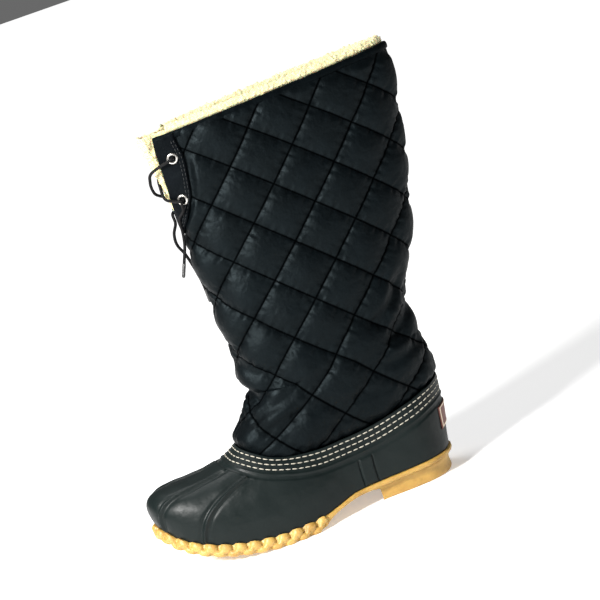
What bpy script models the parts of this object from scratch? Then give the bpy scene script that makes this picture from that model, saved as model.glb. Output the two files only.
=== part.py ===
"""A left duck boot: moulded rubber shoe on a gum outsole, with a tall quilted nylon shaft lined in fleece.

Metres, +Z up. The toe points to -X and the outer (lateral) side faces -Y.
Everything is worked out in the shoe's own frame, with x = 0 at the toe tip and z = 0 on the floor,
and an empty then stands the boot on the origin.
"""

from collections import namedtuple
from math import ceil, pi

import bmesh
import bpy
import numpy as np
from mathutils import Matrix, Vector

FOOT_LENGTH = 0.273
BALL_WIDTH = 0.104
HEEL_WIDTH = 0.072
TOE_SPRING = 0.025
ARCH_HEIGHT = 0.0165
SOLE_THICKNESS = 0.0098
RIM_OVERHANG = 0.0020
HEEL_INSET = 0.0032
HEEL_BREAST = 0.1945
HEEL_BREAST_HOLLOW = 0.005
HEEL_SHELF = 0.007
LUG_PITCH = 0.0125
LUG_DEPTH = 0.0022
LUG_SCALLOP = 0.0016
LUG_END_LATERAL = 7.6
LUG_END_MEDIAL = 6.8

THROAT_HEIGHT = 0.088
SHELL_WALL = 0.0025
SHELL_SEAT = 0.0006
MARGIN = 0.024
RIB_DROP = 0.0175
RIB_HEIGHT = 0.0009
STEP_DROP = 0.0225
STEP_HEIGHT = 0.0007
RIDGE_HEIGHT = 0.0012
BAND_WIDTH = 0.013
BAND_HEIGHT = 0.0008
BAND_ROW = 9.55
BAND_BEVEL = 0.06
RIDGE_REACH = 0.13

COLLAR_HEIGHT = 0.372
COLLAR_TILT = 0.0055
ANKLE_HEIGHT = 0.128
SHAFT_FRONT = 0.119
SHAFT_LEAN = 0.0195
ANKLE_BACK = 0.2735
CALF_REACH = 0.057
ANKLE_THICKNESS = 0.078
COLLAR_THICKNESS = 0.056
SECTION_POWER = 2.2
SHAFT_WALL = 0.0030
BASE_SWELL = 0.0040
BASE_EASE = 0.35
TUCK = 0.012
TUCK_CLEARANCE = 0.0013
DIAMOND_WIDTH = 0.056
DIAMOND_HEIGHT = 0.0525
PUFF = 0.0042
QUILT_FRONT = 0.095
QUILT_HEIGHT = 0.298

SPLIT_LENGTH = 0.080
SPLIT_OPENING = 0.017
FACING_WIDTH = 0.023
FACING_THICKNESS = 0.0014
FACING_TAIL = 0.008
FACING_LIFT = 0.0010
GUSSET_THICKNESS = 0.0035
GUSSET_OVERLAP = 0.016
GUSSET_CLEARANCE = 0.0013
FLEECE_STAND = 0.0075
FLEECE_DEPTH = 0.022
FLEECE_THICKNESS = 0.0060
INSOLE_THICKNESS = 0.0045

EYELET_RADIUS = 0.0042
EYELET_WIRE = 0.0009
EYELET_DROPS = (0.021, 0.058)
EYELET_INSET = 0.0135
LACE_DIAMETER = 0.0030
LACE_CLEARANCE = 0.0010

LABEL_WIDTH = 0.040
LABEL_HEIGHT = 0.0200
LABEL_DROP = 0.0240
LABEL_THICKNESS = 0.0012
GAP = 0.0003
FACING_TOP = FACING_LIFT + FACING_THICKNESS
LACE_LIFT = FACING_TOP + GAP + 2 * EYELET_WIRE + LACE_CLEARANCE + LACE_DIAMETER / 2

Section = namedtuple(
    "Section",
    "x lateral medial spring arch band top_x top_lateral top_medial top_z rise bulge spread drop",
)

# One row for each section from toe tip to heel. x and top_x are shares of FOOT_LENGTH. lateral, medial and
# the topline's two are shares of the width there. spring and arch are shares of TOE_SPRING and ARCH_HEIGHT,
# band of SOLE_THICKNESS, and top_z, rise, bulge and drop of THROAT_HEIGHT. spread is a share of the way from
# the topline back to the sole's edge.
SECTIONS = [
    Section(0.000, -0.087, 0.087, 1.28, 0.00, 1.00, 0.326, 0.000, 0.000, 1.000, 0.59, 0.175, 0.48, 0.380),
    Section(0.013, 0.062, 0.226, 1.17, 0.00, 1.00, 0.327, 0.045, 0.045, 0.998, 0.59, 0.165, 0.48, 0.380),
    Section(0.050, 0.212, 0.346, 0.85, 0.00, 1.00, 0.332, 0.130, 0.130, 0.983, 0.58, 0.130, 0.50, 0.330),
    Section(0.114, 0.337, 0.418, 0.51, 0.00, 1.00, 0.350, 0.212, 0.202, 0.949, 0.515, 0.078, 0.53, 0.255),
    Section(0.196, 0.423, 0.452, 0.24, 0.00, 1.00, 0.377, 0.274, 0.260, 0.898, 0.42, 0.034, 0.55, 0.180),
    Section(0.286, 0.481, 0.462, 0.08, 0.00, 0.98, 0.412, 0.317, 0.298, 0.841, 0.38, 0.028, 0.54, 0.120),
    Section(0.375, 0.500, 0.447, 0.00, 0.00, 0.98, 0.461, 0.346, 0.317, 0.795, 0.38, 0.023, 0.52, 0.102),
    Section(0.464, 0.486, 0.399, 0.00, 0.00, 0.98, 0.521, 0.361, 0.324, 0.767, 0.33, 0.017, 0.45, 0.136),
    Section(0.554, 0.466, 0.355, 0.00, 0.58, 0.38, 0.589, 0.380, 0.340, 0.750, 0.27, 0.011, 0.35, 0.170),
    Section(0.643, 0.463, 0.350, 0.00, 0.82, 0.46, 0.664, 0.410, 0.365, 0.750, 0.23, 0.011, 0.30, 0.182),
    Section(0.732, 0.490, 0.410, 0.00, 0.85, 0.47, 0.743, 0.455, 0.415, 0.767, 0.23, 0.017, 0.30, 0.182),
    Section(0.821, 0.497, 0.457, 0.00, 0.90, 0.45, 0.821, 0.458, 0.430, 0.812, 0.23, 0.023, 0.40, 0.182),
    Section(0.900, 0.465, 0.445, 0.00, 0.94, 0.44, 0.906, 0.417, 0.403, 0.866, 0.23, 0.028, 0.60, 0.182),
    Section(0.955, 0.347, 0.340, 0.00, 0.97, 0.43, 0.974, 0.319, 0.319, 0.918, 0.23, 0.012, 0.45, 0.200),
    Section(0.983, 0.181, 0.181, 0.00, 0.99, 0.43, 1.013, 0.167, 0.167, 0.950, 0.23, -0.020, 0.15, 0.220),
    Section(0.993, 0.000, 0.000, 0.00, 1.00, 0.43, 1.028, 0.000, 0.000, 0.962, 0.23, -0.025, 0.05, 0.230),
]
LAST = len(SECTIONS) - 1
TURN = 2 * LAST
WAIST_SPACING = SECTIONS[10].x - SECTIONS[9].x
BALL_ENDS = 0.45
HEEL_STARTS = 0.75

ShaftRow = namedtuple("ShaftRow", "height lean reach thickness")

# One row for each section of the shaft, from ankle to collar. height is a share of the way from ANKLE_HEIGHT
# to COLLAR_HEIGHT, lean of SHAFT_LEAN, reach of CALF_REACH, and thickness of the way from ANKLE_THICKNESS to
# COLLAR_THICKNESS.
SHAFT_ROWS = [
    ShaftRow(0.00, 0.00, 0.00, 0.00),
    ShaftRow(0.10, 0.13, 0.00, 0.05),
    ShaftRow(0.23, 0.18, 0.19, 0.12),
    ShaftRow(0.38, 0.26, 0.46, 0.30),
    ShaftRow(0.54, 0.36, 0.66, 0.50),
    ShaftRow(0.70, 0.50, 0.81, 0.70),
    ShaftRow(0.86, 0.72, 0.925, 0.88),
    ShaftRow(1.00, 1.00, 1.00, 1.00),
]

# The facing's outer edge, from its tail to the collar: share of its height, share of FACING_WIDTH.
FACING_SHAPE = [(0.0, 0.18), (0.12, 0.55), (0.4, 0.95), (0.75, 1.0), (1.0, 0.86)]

BLACK_RUBBER = ("black_rubber", (0.018, 0.021, 0.022), 0.42, 0.0)
GUM_RUBBER = ("gum_rubber", (0.62, 0.36, 0.10), 0.55, 0.0)
NYLON = ("quilted_nylon", (0.012, 0.013, 0.016), 0.50, 0.0)
FLEECE = ("cream_fleece", (0.86, 0.77, 0.50), 0.95, 0.0)
NICKEL = ("nickel", (0.72, 0.71, 0.68), 0.30, 1.0)
CORD = ("black_cord", (0.010, 0.010, 0.011), 0.80, 0.0)
LABEL = ("label_leather", (0.16, 0.055, 0.035), 0.60, 0.0)


def column(name):
    return np.array([getattr(row, name) for row in SECTIONS])


def monotone(places, values, at):
    """A smooth curve through the values that never swings past them, level at both ends."""
    places = np.asarray(places, float)
    values = np.asarray(values, float)
    steps = np.diff(places)
    slopes = np.diff(values) / steps
    tangents = np.zeros(len(values))
    for i in range(1, len(values) - 1):
        if slopes[i - 1] * slopes[i] > 0:
            tangents[i] = 2 * slopes[i - 1] * slopes[i] / (slopes[i - 1] + slopes[i])
    at = np.clip(at, places[0], places[-1])
    i = np.clip(np.searchsorted(places, at, side="right") - 1, 0, len(steps) - 1)
    t = (at - places[i]) / steps[i]
    start = (1 + 2 * t) * (1 - t) ** 2 * values[i] + t * (1 - t) ** 2 * steps[i] * tangents[i]
    end = t * t * (3 - 2 * t) * values[i + 1] + t * t * (t - 1) * steps[i] * tangents[i + 1]
    return start + end


def round_loop(points, a):
    """A closed smooth curve through the points, read at a, counted in points."""
    count = len(points)
    i = np.floor(a).astype(int)
    t = (a - i)[:, None]
    p0, p1, p2, p3 = (points[(i + k) % count] for k in (-1, 0, 1, 2))
    return 0.5 * (
        2 * p1 + (p2 - p0) * t + (2 * p0 - 5 * p1 + 4 * p2 - p3) * t**2 + (3 * p1 - p0 - 3 * p2 + p3) * t**3
    )


def section_row(a):
    """The place in SECTIONS of a point that is a rows round from the toe by the lateral side."""
    a = np.mod(a, TURN)
    return np.minimum(a, TURN - a)


def by_row(name, a):
    return monotone(range(LAST + 1), column(name), section_row(a))


def width_at(x_share):
    t = np.clip((x_share - BALL_ENDS) / (HEEL_STARTS - BALL_ENDS), 0, 1)
    return BALL_WIDTH + (HEEL_WIDTH - BALL_WIDTH) * t * t * (3 - 2 * t)


def plan_loop(x_name, lateral_name, medial_name):
    x = column(x_name)
    width = width_at(column("x"))
    lateral = np.stack([x * FOOT_LENGTH, -column(lateral_name) * width], axis=1)
    medial = np.stack([x * FOOT_LENGTH, column(medial_name) * width], axis=1)
    return np.concatenate([lateral, medial[-2:0:-1]])


def outline(a):
    """The shell's outer edge in plan, at the sole."""
    return round_loop(plan_loop("x", "lateral", "medial"), np.asarray(a, float))


def outline_normal(a):
    ahead = outline(a + 0.02) - outline(a - 0.02)
    normal = np.stack([ahead[:, 1], -ahead[:, 0]], axis=1)
    return normal / np.linalg.norm(normal, axis=1)[:, None]


def sole_bottom(a):
    return by_row("spring", a) * TOE_SPRING + by_row("arch", a) * ARCH_HEIGHT


def sole_rim(a):
    return sole_bottom(a) + by_row("band", a) * SOLE_THICKNESS


def topline(a):
    plan = round_loop(plan_loop("top_x", "top_lateral", "top_medial"), np.asarray(a, float))
    return np.column_stack([plan, by_row("top_z", a) * THROAT_HEIGHT])


MERIDIAN_STEPS = 40


def meridians(a):
    """The shell's outer surface as curves from the topline down to the sole: (steps + 1, points, 3)."""
    a = np.asarray(a, float)
    foot = np.column_stack([outline(a), sole_rim(a) + SHELL_SEAT])
    top = topline(a)
    out = foot - top
    out[:, 2] = 0
    way = out / np.linalg.norm(out, axis=1)[:, None]
    up = np.array([0, 0, 1.0])
    low = foot + up * (by_row("rise", a) * THROAT_HEIGHT)[:, None]
    low = low + way * (by_row("bulge", a) * THROAT_HEIGHT)[:, None]
    high = top + out * by_row("spread", a)[:, None] - up * (by_row("drop", a) * THROAT_HEIGHT)[:, None]
    t = np.linspace(0, 1, MERIDIAN_STEPS + 1)[:, None, None]
    return (1 - t) ** 3 * top + 3 * t * (1 - t) ** 2 * high + 3 * t * t * (1 - t) * low + t**3 * foot


def along(curves, fixed, share):
    """A point on each curve, fixed metres below the topline plus a share of what is left under MARGIN."""
    lengths = np.linalg.norm(np.diff(curves, axis=0), axis=2)
    lengths = np.concatenate([np.zeros((1, curves.shape[1])), np.cumsum(lengths, axis=0)])
    points = np.empty(curves.shape[1:])
    for i in range(curves.shape[1]):
        down = fixed + share * (lengths[-1, i] - MARGIN)
        for k in range(3):
            points[i, k] = np.interp(down, lengths[:, i], curves[:, i, k])
    return points


def shell_row(a, fixed, share=0.0, lift=0.0):
    """Points of the shell's outer surface, moved out by lift along its normal."""
    a = np.asarray(a, float)
    here = meridians(a)
    points = along(here, fixed, share)
    lower = fixed + 0.0006 if share < 1 else fixed - 0.0006
    down = along(here, lower, share) - points
    if share >= 1:
        down = -down
    round_way = along(meridians(a + 0.02), fixed, share) - along(meridians(a - 0.02), fixed, share)
    normals = np.cross(down, round_way)
    normals /= np.linalg.norm(normals, axis=1)[:, None]
    return points + normals * np.broadcast_to(lift, len(a))[:, None], normals


def shaft_section(height):
    """Front, back and half thickness of the shaft's oval at this height."""
    share = (height - ANKLE_HEIGHT) / (COLLAR_HEIGHT - ANKLE_HEIGHT)
    rows = [row.height for row in SHAFT_ROWS]
    front = SHAFT_FRONT - SHAFT_LEAN * monotone(rows, [row.lean for row in SHAFT_ROWS], share)
    back = ANKLE_BACK + CALF_REACH * monotone(rows, [row.reach for row in SHAFT_ROWS], share)
    slim = monotone(rows, [row.thickness for row in SHAFT_ROWS], share)
    return front, back, (ANKLE_THICKNESS + (COLLAR_THICKNESS - ANKLE_THICKNESS) * slim) / 2


def half_oval(height):
    """The oval from front to back on one side: arc lengths, plan points and plan normals."""
    front, back, deep = shaft_section(height)
    long = (back - front) / 2
    angle = np.linspace(0, pi, 181)
    c, s = np.cos(angle), np.sin(angle)
    x = np.sign(c) * np.abs(c) ** (2 / SECTION_POWER)
    y = np.abs(s) ** (2 / SECTION_POWER)
    points = np.column_stack([front + long - long * x, deep * y])
    normals = np.column_stack(
        [-np.sign(x) * np.abs(x) ** (SECTION_POWER - 1) / long, y ** (SECTION_POWER - 1) / deep]
    )
    normals /= np.linalg.norm(normals, axis=1)[:, None]
    arc = np.concatenate([[0], np.cumsum(np.linalg.norm(np.diff(points, axis=0), axis=1))])
    return arc, points, normals


def half_girth(height):
    return half_oval(height)[0][-1]


def shaft_ring(side, arc_places, height, lift=0.0):
    """Points on one side (-1 lateral, 1 medial) at arc distances from the front, moved out by lift."""
    arc, points, normals = half_oval(height)
    places = np.clip(arc_places, 0, arc[-1])
    x, y, nx, ny = (
        np.interp(places, arc, values) for values in (points[:, 0], points[:, 1], normals[:, 0], normals[:, 1])
    )
    size = np.hypot(nx, ny)
    lift = np.broadcast_to(lift, len(places))
    x = x + lift * nx / size
    y = y + lift * ny / size
    front, back, _ = shaft_section(height)
    rise = (height - ANKLE_HEIGHT) / (COLLAR_HEIGHT - ANKLE_HEIGHT)
    z = height + COLLAR_TILT * rise * (2 * (x - front) / (back - front) - 1)
    return np.column_stack([x, side * y, z])


def topline_place(side, share):
    """How many rows round the topline lies this share of the way from its front to its back."""
    rows = np.linspace(0, LAST, 241)
    a = rows if side < 0 else TURN - rows
    points = topline(a)
    arc = np.concatenate([[0], np.cumsum(np.linalg.norm(np.diff(points, axis=0), axis=1))])
    return np.interp(share, arc / arc[-1], a)


def split_height():
    return COLLAR_HEIGHT - SPLIT_LENGTH


def split_edge(height):
    """Arc distance from the front to the edge of the split."""
    return SPLIT_OPENING * np.clip((height - split_height()) / SPLIT_LENGTH, 0, 1)


def facing_reach(height):
    """Arc distance from the front to the outer edge of the facing."""
    share = (height - split_height() + FACING_TAIL) / (SPLIT_LENGTH + FACING_TAIL)
    return split_edge(height) + FACING_WIDTH * monotone(*zip(*FACING_SHAPE), share)


def puff_at(place, height):
    """The quilting's pillow height: none on the stitched lines, full in the middle of each diamond."""
    across = (place - QUILT_FRONT) / DIAMOND_WIDTH
    up = (height - QUILT_HEIGHT) / DIAMOND_HEIGHT
    ridge = np.abs(np.sin(pi * (across + up))) * np.abs(np.sin(pi * (across - up)))
    return PUFF * ridge**0.6


def collection(name):
    made = bpy.data.collections.new(name)
    bpy.context.scene.collection.children.link(made)
    return made


def material(finish):
    name, colour, roughness, metallic = finish
    made = bpy.data.materials.get(name)
    if made is None:
        made = bpy.data.materials.new(name)
        made.use_nodes = True
        shader = made.node_tree.nodes["Principled BSDF"]
        shader.inputs["Base Color"].default_value = (*colour, 1)
        shader.inputs["Roughness"].default_value = roughness
        shader.inputs["Metallic"].default_value = metallic
    return made


def add_object(name, mesh, finish, group, smooth=True):
    made = bpy.data.objects.new(name, mesh)
    group.objects.link(made)
    made.data.materials.append(material(finish))
    if smooth and isinstance(mesh, bpy.types.Mesh):
        mesh.shade_smooth()
        mesh.set_sharp_from_angle(angle=0.7)
    return made


def mesh_from(name, points, faces):
    """A mesh of these faces, its doubled points joined."""
    sheet = bmesh.new()
    corners = [sheet.verts.new(p) for p in points]
    for face in faces:
        sheet.faces.new([corners[i] for i in face])
    bmesh.ops.remove_doubles(sheet, verts=sheet.verts[:], dist=1e-6)
    mesh = bpy.data.meshes.new(name)
    sheet.to_mesh(mesh)
    sheet.free()
    return mesh


def sheet_mesh(name, rows, closed, diagonal=None):
    """A loft through rows of points. closed joins each row's end to its start."""
    rows = np.asarray(rows)
    count, width = rows.shape[:2]
    faces = []
    for j in range(count - 1):
        for i in range(width if closed else width - 1):
            k = (i + 1) % width
            quad = [j * width + i, j * width + k, (j + 1) * width + k, (j + 1) * width + i]
            if diagonal is None:
                faces.append(quad)
            elif diagonal(i, j):
                faces += [[quad[0], quad[1], quad[2]], [quad[0], quad[2], quad[3]]]
            else:
                faces += [[quad[0], quad[1], quad[3]], [quad[1], quad[2], quad[3]]]
    return mesh_from(name, rows.reshape(-1, 3), faces)


def face_out(mesh):
    shell = bmesh.new()
    shell.from_mesh(mesh)
    bmesh.ops.recalc_face_normals(shell, faces=shell.faces[:])
    shell.to_mesh(mesh)
    shell.free()


def closed_loft(name, rings):
    """A solid through rings that run from its top, down its side, to its bottom, each filled across."""
    rings = np.asarray(rings)
    count, width = rings.shape[:2]
    faces = []
    for j in range(count - 1):
        for i in range(width):
            k = (i + 1) % width
            faces.append([j * width + i, j * width + k, (j + 1) * width + k, (j + 1) * width + i])
    for base in (0, (count - 1) * width):
        for i in range(width // 2):
            rung = [base + i, base + i + 1, base + (width - i - 1) % width, base + (width - i) % width]
            faces.append(list(dict.fromkeys(rung)))
    mesh = mesh_from(name, rings.reshape(-1, 3), faces)
    face_out(mesh)
    return mesh


def solidify(obj, thickness, offset):
    wall = obj.modifiers.new("Wall", "SOLIDIFY")
    wall.thickness = thickness
    wall.offset = offset
    wall.use_even_offset = True
    wall.use_quality_normals = True
    return wall


def rows_round(per_row):
    """Places round the sole, as many between two sections on each side."""
    return np.arange(0, TURN, 1 / per_row)


def lug_wave(a):
    """0 between lugs and 1 on their crowns, along the forefoot's edge."""
    fine = np.linspace(0, TURN, 1200)
    points = outline(fine)
    arc = np.concatenate([[0], np.cumsum(np.linalg.norm(np.diff(points, axis=0), axis=1))])
    from_toe = np.interp(a, fine, arc)
    from_toe = np.minimum(from_toe, arc[-1] - from_toe)
    ends = np.where(np.mod(a, TURN) < LAST, LUG_END_LATERAL, LUG_END_MEDIAL)
    there = np.clip((ends - section_row(a)) / 0.25, 0, 1)
    return np.abs(np.cos(pi * from_toe / LUG_PITCH)) ** 0.7 * there, there


def offset_ring(a, out, z):
    return np.column_stack([outline(a) + outline_normal(a) * np.broadcast_to(out, len(a))[:, None], z])


def outsole(group, cutters):
    a = rows_round(5)
    wave, there = lug_wave(a)
    bottom, rim = sole_bottom(a), sole_rim(a)
    band = rim - bottom
    grow = LUG_DEPTH * wave
    rings = [
        offset_ring(a, -SHELL_WALL, rim),
        offset_ring(a, GAP, rim),
        offset_ring(a, RIM_OVERHANG * 0.8 + grow * 0.4, rim + LUG_SCALLOP * wave),
        offset_ring(a, RIM_OVERHANG + grow, rim - band * 0.35),
        offset_ring(a, RIM_OVERHANG * (1 - 0.5 * there) + grow, bottom + band * 0.3),
        offset_ring(a, -RIM_OVERHANG * (0.3 + 0.7 * there) + grow * 0.7, bottom),
    ]
    sole = add_object("outsole", closed_loft("outsole", rings), GUM_RUBBER, group)
    heel = heel_block(cutters)
    join = sole.modifiers.new("Heel", "BOOLEAN")
    join.operation = "UNION"
    join.solver = "EXACT"
    join.object = heel
    return sole


def heel_block(cutters):
    """The heel: a shelf under the sole, then the block behind its breast, hollowed down its side."""
    rows = np.linspace(0, 1, 15)
    breast = np.linspace(0, 1, 6)[1:-1]
    rings = []
    for inset, z, shelf in (
        (HEEL_INSET, ARCH_HEIGHT + SOLE_THICKNESS * 0.1, HEEL_SHELF),
        (HEEL_INSET * 1.4, ARCH_HEIGHT * 0.74, HEEL_SHELF),
        (HEEL_INSET * 1.5, ARCH_HEIGHT * 0.66, 0.0),
        (HEEL_INSET * 1.3, ARCH_HEIGHT * 0.15, 0.0),
        (HEEL_INSET * 1.6, 0.0, 0.0),
    ):
        start = np.interp((HEEL_BREAST - shelf) / FOOT_LENGTH, column("x"), range(LAST + 1))
        a = start + (TURN - 2 * start) * rows
        edge = outline(a) - outline_normal(a) * inset
        first, last = edge[-1], edge[0]
        front = first + (last - first) * breast[:, None]
        front[:, 0] += HEEL_BREAST_HOLLOW * np.sin(pi * breast)
        rings.append(np.column_stack([np.concatenate([edge, front]), np.full(len(edge) + len(front), z)]))
    count, width = len(rings), len(rings[0])
    faces = [list(range(width)), list(range((count - 1) * width, count * width))]
    for j in range(count - 1):
        for i in range(width):
            k = (i + 1) % width
            faces.append([j * width + i, j * width + k, (j + 1) * width + k, (j + 1) * width + i])
    mesh = mesh_from("heel_block", np.concatenate(rings), faces)
    face_out(mesh)
    block = add_object("heel_block", mesh, GUM_RUBBER, cutters, smooth=False)
    block.hide_render = True
    block.display_type = "WIRE"
    return block


def insole(group):
    a = rows_round(2)
    inset = -(SHELL_WALL + 2 * GAP)
    low, high = sole_rim(a) + 2 * GAP, sole_rim(a) + 2 * GAP + INSOLE_THICKNESS
    rings = [
        offset_ring(a, inset - 0.3 * INSOLE_THICKNESS, high),
        offset_ring(a, inset, high - 0.3 * INSOLE_THICKNESS),
        offset_ring(a, inset, low),
    ]
    return add_object("insole", closed_loft("insole", rings), FLEECE, group)


def ridge_rows():
    """Where the three ridges of the vamp start at the toe, in rows round."""
    return (0.0, 2.0, TURN - 2.0)


def ridge_spacing(a, fixed, share):
    """Metres per row round, at this level."""
    near = np.array([a - 0.05, a + 0.05])
    points = along(meridians(near), fixed, share)
    return np.linalg.norm(points[1] - points[0]) / 0.1


def rubber_shell(group):
    plain = [p for p in np.arange(0, TURN, 0.25) if section_row(p) < 3.1 or p % 0.5 == 0]
    extra = []
    for ridge in ridge_rows():
        extra += [ridge - RIDGE_REACH, ridge, ridge + RIDGE_REACH]
    half_band = BAND_WIDTH / FOOT_LENGTH / WAIST_SPACING / 2
    for middle in (BAND_ROW, TURN - BAND_ROW):
        for edge in (middle - half_band, middle + half_band):
            extra += [edge - BAND_BEVEL, edge + BAND_BEVEL]
    kept = [p for p in plain if min(abs(p - e) for e in extra) > 0.1]
    a = np.array(sorted({round(float(np.mod(p, TURN)), 4) for p in kept + extra}))
    levels = [
        (0.0, 0.0, 0.0),
        (RIB_DROP - 0.0016, 0.0, 0.0),
        (RIB_DROP, 0.0, RIB_HEIGHT),
        (RIB_DROP + 0.0016, 0.0, 0.0),
        (STEP_DROP, 0.0, STEP_HEIGHT),
        (MARGIN, 0.18, STEP_HEIGHT),
        (MARGIN, 0.38, STEP_HEIGHT),
        (MARGIN, 0.58, STEP_HEIGHT),
        (MARGIN, 0.79, STEP_HEIGHT),
        (MARGIN, 1.0, STEP_HEIGHT * 0.3),
    ]
    rows = []
    for fixed, share, lift in levels:
        lifts = np.full(len(a), lift)
        if fixed == MARGIN:
            for ridge in ridge_rows():
                away = np.abs(np.mod(a - ridge + LAST, TURN) - LAST)
                lifts += RIDGE_HEIGHT * np.clip(1 - away / RIDGE_REACH, 0, 1) * (share < 1)
            from_band = np.abs(section_row(a) - BAND_ROW)
            lifts += BAND_HEIGHT * (from_band < half_band) * (share < 1)
        rows.append(shell_row(a, fixed, share, lifts)[0])
    shell = add_object("rubber_shell", sheet_mesh("rubber_shell", rows, True), BLACK_RUBBER, group)
    solidify(shell, SHELL_WALL, 1)
    return shell


def shaft_base(side, places, share_places, height):
    """One row of the shaft on one side, without its quilting."""
    if height >= ANKLE_HEIGHT:
        return shaft_ring(side, places, height)
    ankle = shaft_ring(side, places, ANKLE_HEIGHT)
    a = topline_place(side, share_places)
    start, normals = shell_row(a, 0.0, 0.0, -(SHELL_WALL + TUCK_CLEARANCE))
    up = (height - THROAT_HEIGHT) / (ANKLE_HEIGHT - THROAT_HEIGHT)
    eased = up * up * (3 - 2 * up)
    out = normals.copy()
    out[:, 2] = 0
    return start + (ankle - start) * (up + BASE_EASE * (eased - up)) + out * BASE_SWELL * np.sin(pi * up)


def quilted_shaft(group):
    step = DIAMOND_WIDTH / 4
    rise = DIAMOND_HEIGHT / 4
    columns = int(ceil(half_girth(COLLAR_HEIGHT) / step)) + 1
    first = QUILT_FRONT - step * int(QUILT_FRONT / step)
    grid = np.concatenate([[0.0, first * 0.45], first + step * np.arange(columns)])
    steps_down = int((QUILT_HEIGHT - ANKLE_HEIGHT) / rise)
    heights = [QUILT_HEIGHT + rise * j for j in range(-steps_down, int((COLLAR_HEIGHT - QUILT_HEIGHT) / rise) + 1)]
    if COLLAR_HEIGHT - heights[-1] < rise * 0.3:
        heights.pop()
    heights.append(COLLAR_HEIGHT)
    low = [THROAT_HEIGHT + (ANKLE_HEIGHT - THROAT_HEIGHT) * share for share in (0.0, 0.33, 0.66)]
    share_places = np.clip(grid, 0, half_girth(ANKLE_HEIGHT)) / half_girth(ANKLE_HEIGHT)
    rows = []
    tucked = []
    for side in (-1, 1):
        a = topline_place(side, share_places)
        tucked.append(shell_row(a, TUCK, 0.0, -(SHELL_WALL + TUCK_CLEARANCE))[0])
    rows.append(np.concatenate([tucked[0], tucked[1][::-1]]))
    for height in low + heights:
        halves = []
        for side in (-1, 1):
            edge = split_edge(height)
            reach = grid[4]
            places = np.where(grid < reach, edge + grid * (1 - edge / reach), grid)
            if height < ANKLE_HEIGHT:
                halves.append(shaft_base(side, grid, share_places, height))
                continue
            puff = puff_at(places, height)
            if height > split_height() - FACING_TAIL - rise:
                puff = puff * (places > facing_reach(height) + step)
            puff = puff * np.clip((COLLAR_HEIGHT - height) / (rise * 0.5), 0, 1)
            puff = puff * np.clip((half_girth(height) - places) / step, 0, 1)
            puff = np.where(places < step * 0.3, puff * 0.4, puff)
            halves.append(shaft_ring(side, places, height, puff))
        rows.append(np.concatenate([halves[0], halves[1][::-1]]))
    start = 1 + len(low)

    def slanted(i, j):
        mirrored = i >= len(grid)
        across = (2 * len(grid) - 2 - i if mirrored else i) - 2 - int(QUILT_FRONT / step)
        up = j - start - steps_down
        rising = (across - up) % 4 == 0
        falling = (across + up + 1) % 4 == 0
        return (rising and not falling) != mirrored

    shaft = add_object("quilted_shaft", sheet_mesh("quilted_shaft", rows, False, slanted), NYLON, group)
    solidify(shaft, SHAFT_WALL, -1)
    return shaft


def facing(group, name, side):
    heights = np.linspace(split_height() - FACING_TAIL, COLLAR_HEIGHT - 2 * GAP, 9)
    rows = []
    for height in heights:
        edge = max(float(split_edge(height)), GAP) + GAP
        places = np.linspace(edge, float(facing_reach(height)), 5)
        rows.append(shaft_ring(side, places, height, FACING_LIFT))
    patch = add_object(name, sheet_mesh(name, rows, False), NYLON, group)
    solidify(patch, FACING_THICKNESS, 1 if side < 0 else -1)
    return patch


def gusset(group):
    """Fleece behind the split, from one inner wall to the other, swelling through the opening."""
    inner = SHAFT_WALL + GUSSET_CLEARANCE
    rows = []
    for height in np.linspace(split_height() - 0.004, COLLAR_HEIGHT + FLEECE_STAND * 0.4, 9):
        level = min(height, COLLAR_HEIGHT)
        edge = float(split_edge(level))
        lift = height - level
        spans = np.array([1.0, 0.55, 0.2])
        outer = edge + GUSSET_OVERLAP * spans
        within = edge * np.array([0.8, 0.5, 0.0])
        places = np.concatenate([outer, within])
        swell = np.concatenate([-np.full(3, inner), -inner * np.array([0.75, 0.35, 0.2])])
        if edge < 0.004:
            swell = np.full(6, -inner)
        lateral = shaft_ring(-1, places, level, swell)
        medial = shaft_ring(1, places, level, swell)
        row = np.concatenate([lateral, medial[-2::-1]])
        row[:, 2] += lift
        rows.append(row)
    patch = add_object("gusset", sheet_mesh("gusset", rows, False), FLEECE, group)
    solidify(patch, GUSSET_THICKNESS, 1)
    return patch


def fleece_collar(group):
    """The lining's edge: a soft band inside the collar that stands above it, open at the split."""
    inner = SHAFT_WALL + 2 * GAP
    start = float(split_edge(COLLAR_HEIGHT)) + GUSSET_OVERLAP * 1.1
    places = np.linspace(start, half_girth(COLLAR_HEIGHT), 15)
    profile = [
        (inner, -FLEECE_DEPTH),
        (inner, 0.0),
        (inner - SHAFT_WALL * 0.5, FLEECE_STAND * 0.35),
        (inner, FLEECE_STAND * 0.8),
        (inner + FLEECE_THICKNESS * 0.4, FLEECE_STAND),
        (inner + FLEECE_THICKNESS * 0.9, FLEECE_STAND * 0.6),
        (inner + FLEECE_THICKNESS, 0.0),
        (inner + FLEECE_THICKNESS * 0.8, -FLEECE_DEPTH),
    ]
    rails = []
    for inset, up in profile:
        level = COLLAR_HEIGHT + min(up, 0.0)
        halves = [shaft_ring(side, places, level, -inset) for side in (-1, 1)]
        rail = np.concatenate([halves[0], halves[1][-2::-1]])
        rail[:, 2] += max(up, 0.0)
        rails.append(rail)
    rails = np.array(rails)
    count, width = rails.shape[:2]
    faces = []
    for j in range(count):
        k = (j + 1) % count
        for i in range(width - 1):
            faces.append([j * width + i, j * width + i + 1, k * width + i + 1, k * width + i])
    faces.append([j * width for j in range(count)])
    faces.append([j * width + width - 1 for j in range(count)])
    mesh = mesh_from("fleece_collar", rails.reshape(-1, 3), faces)
    face_out(mesh)
    return add_object("fleece_collar", mesh, FLEECE, group)


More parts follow.
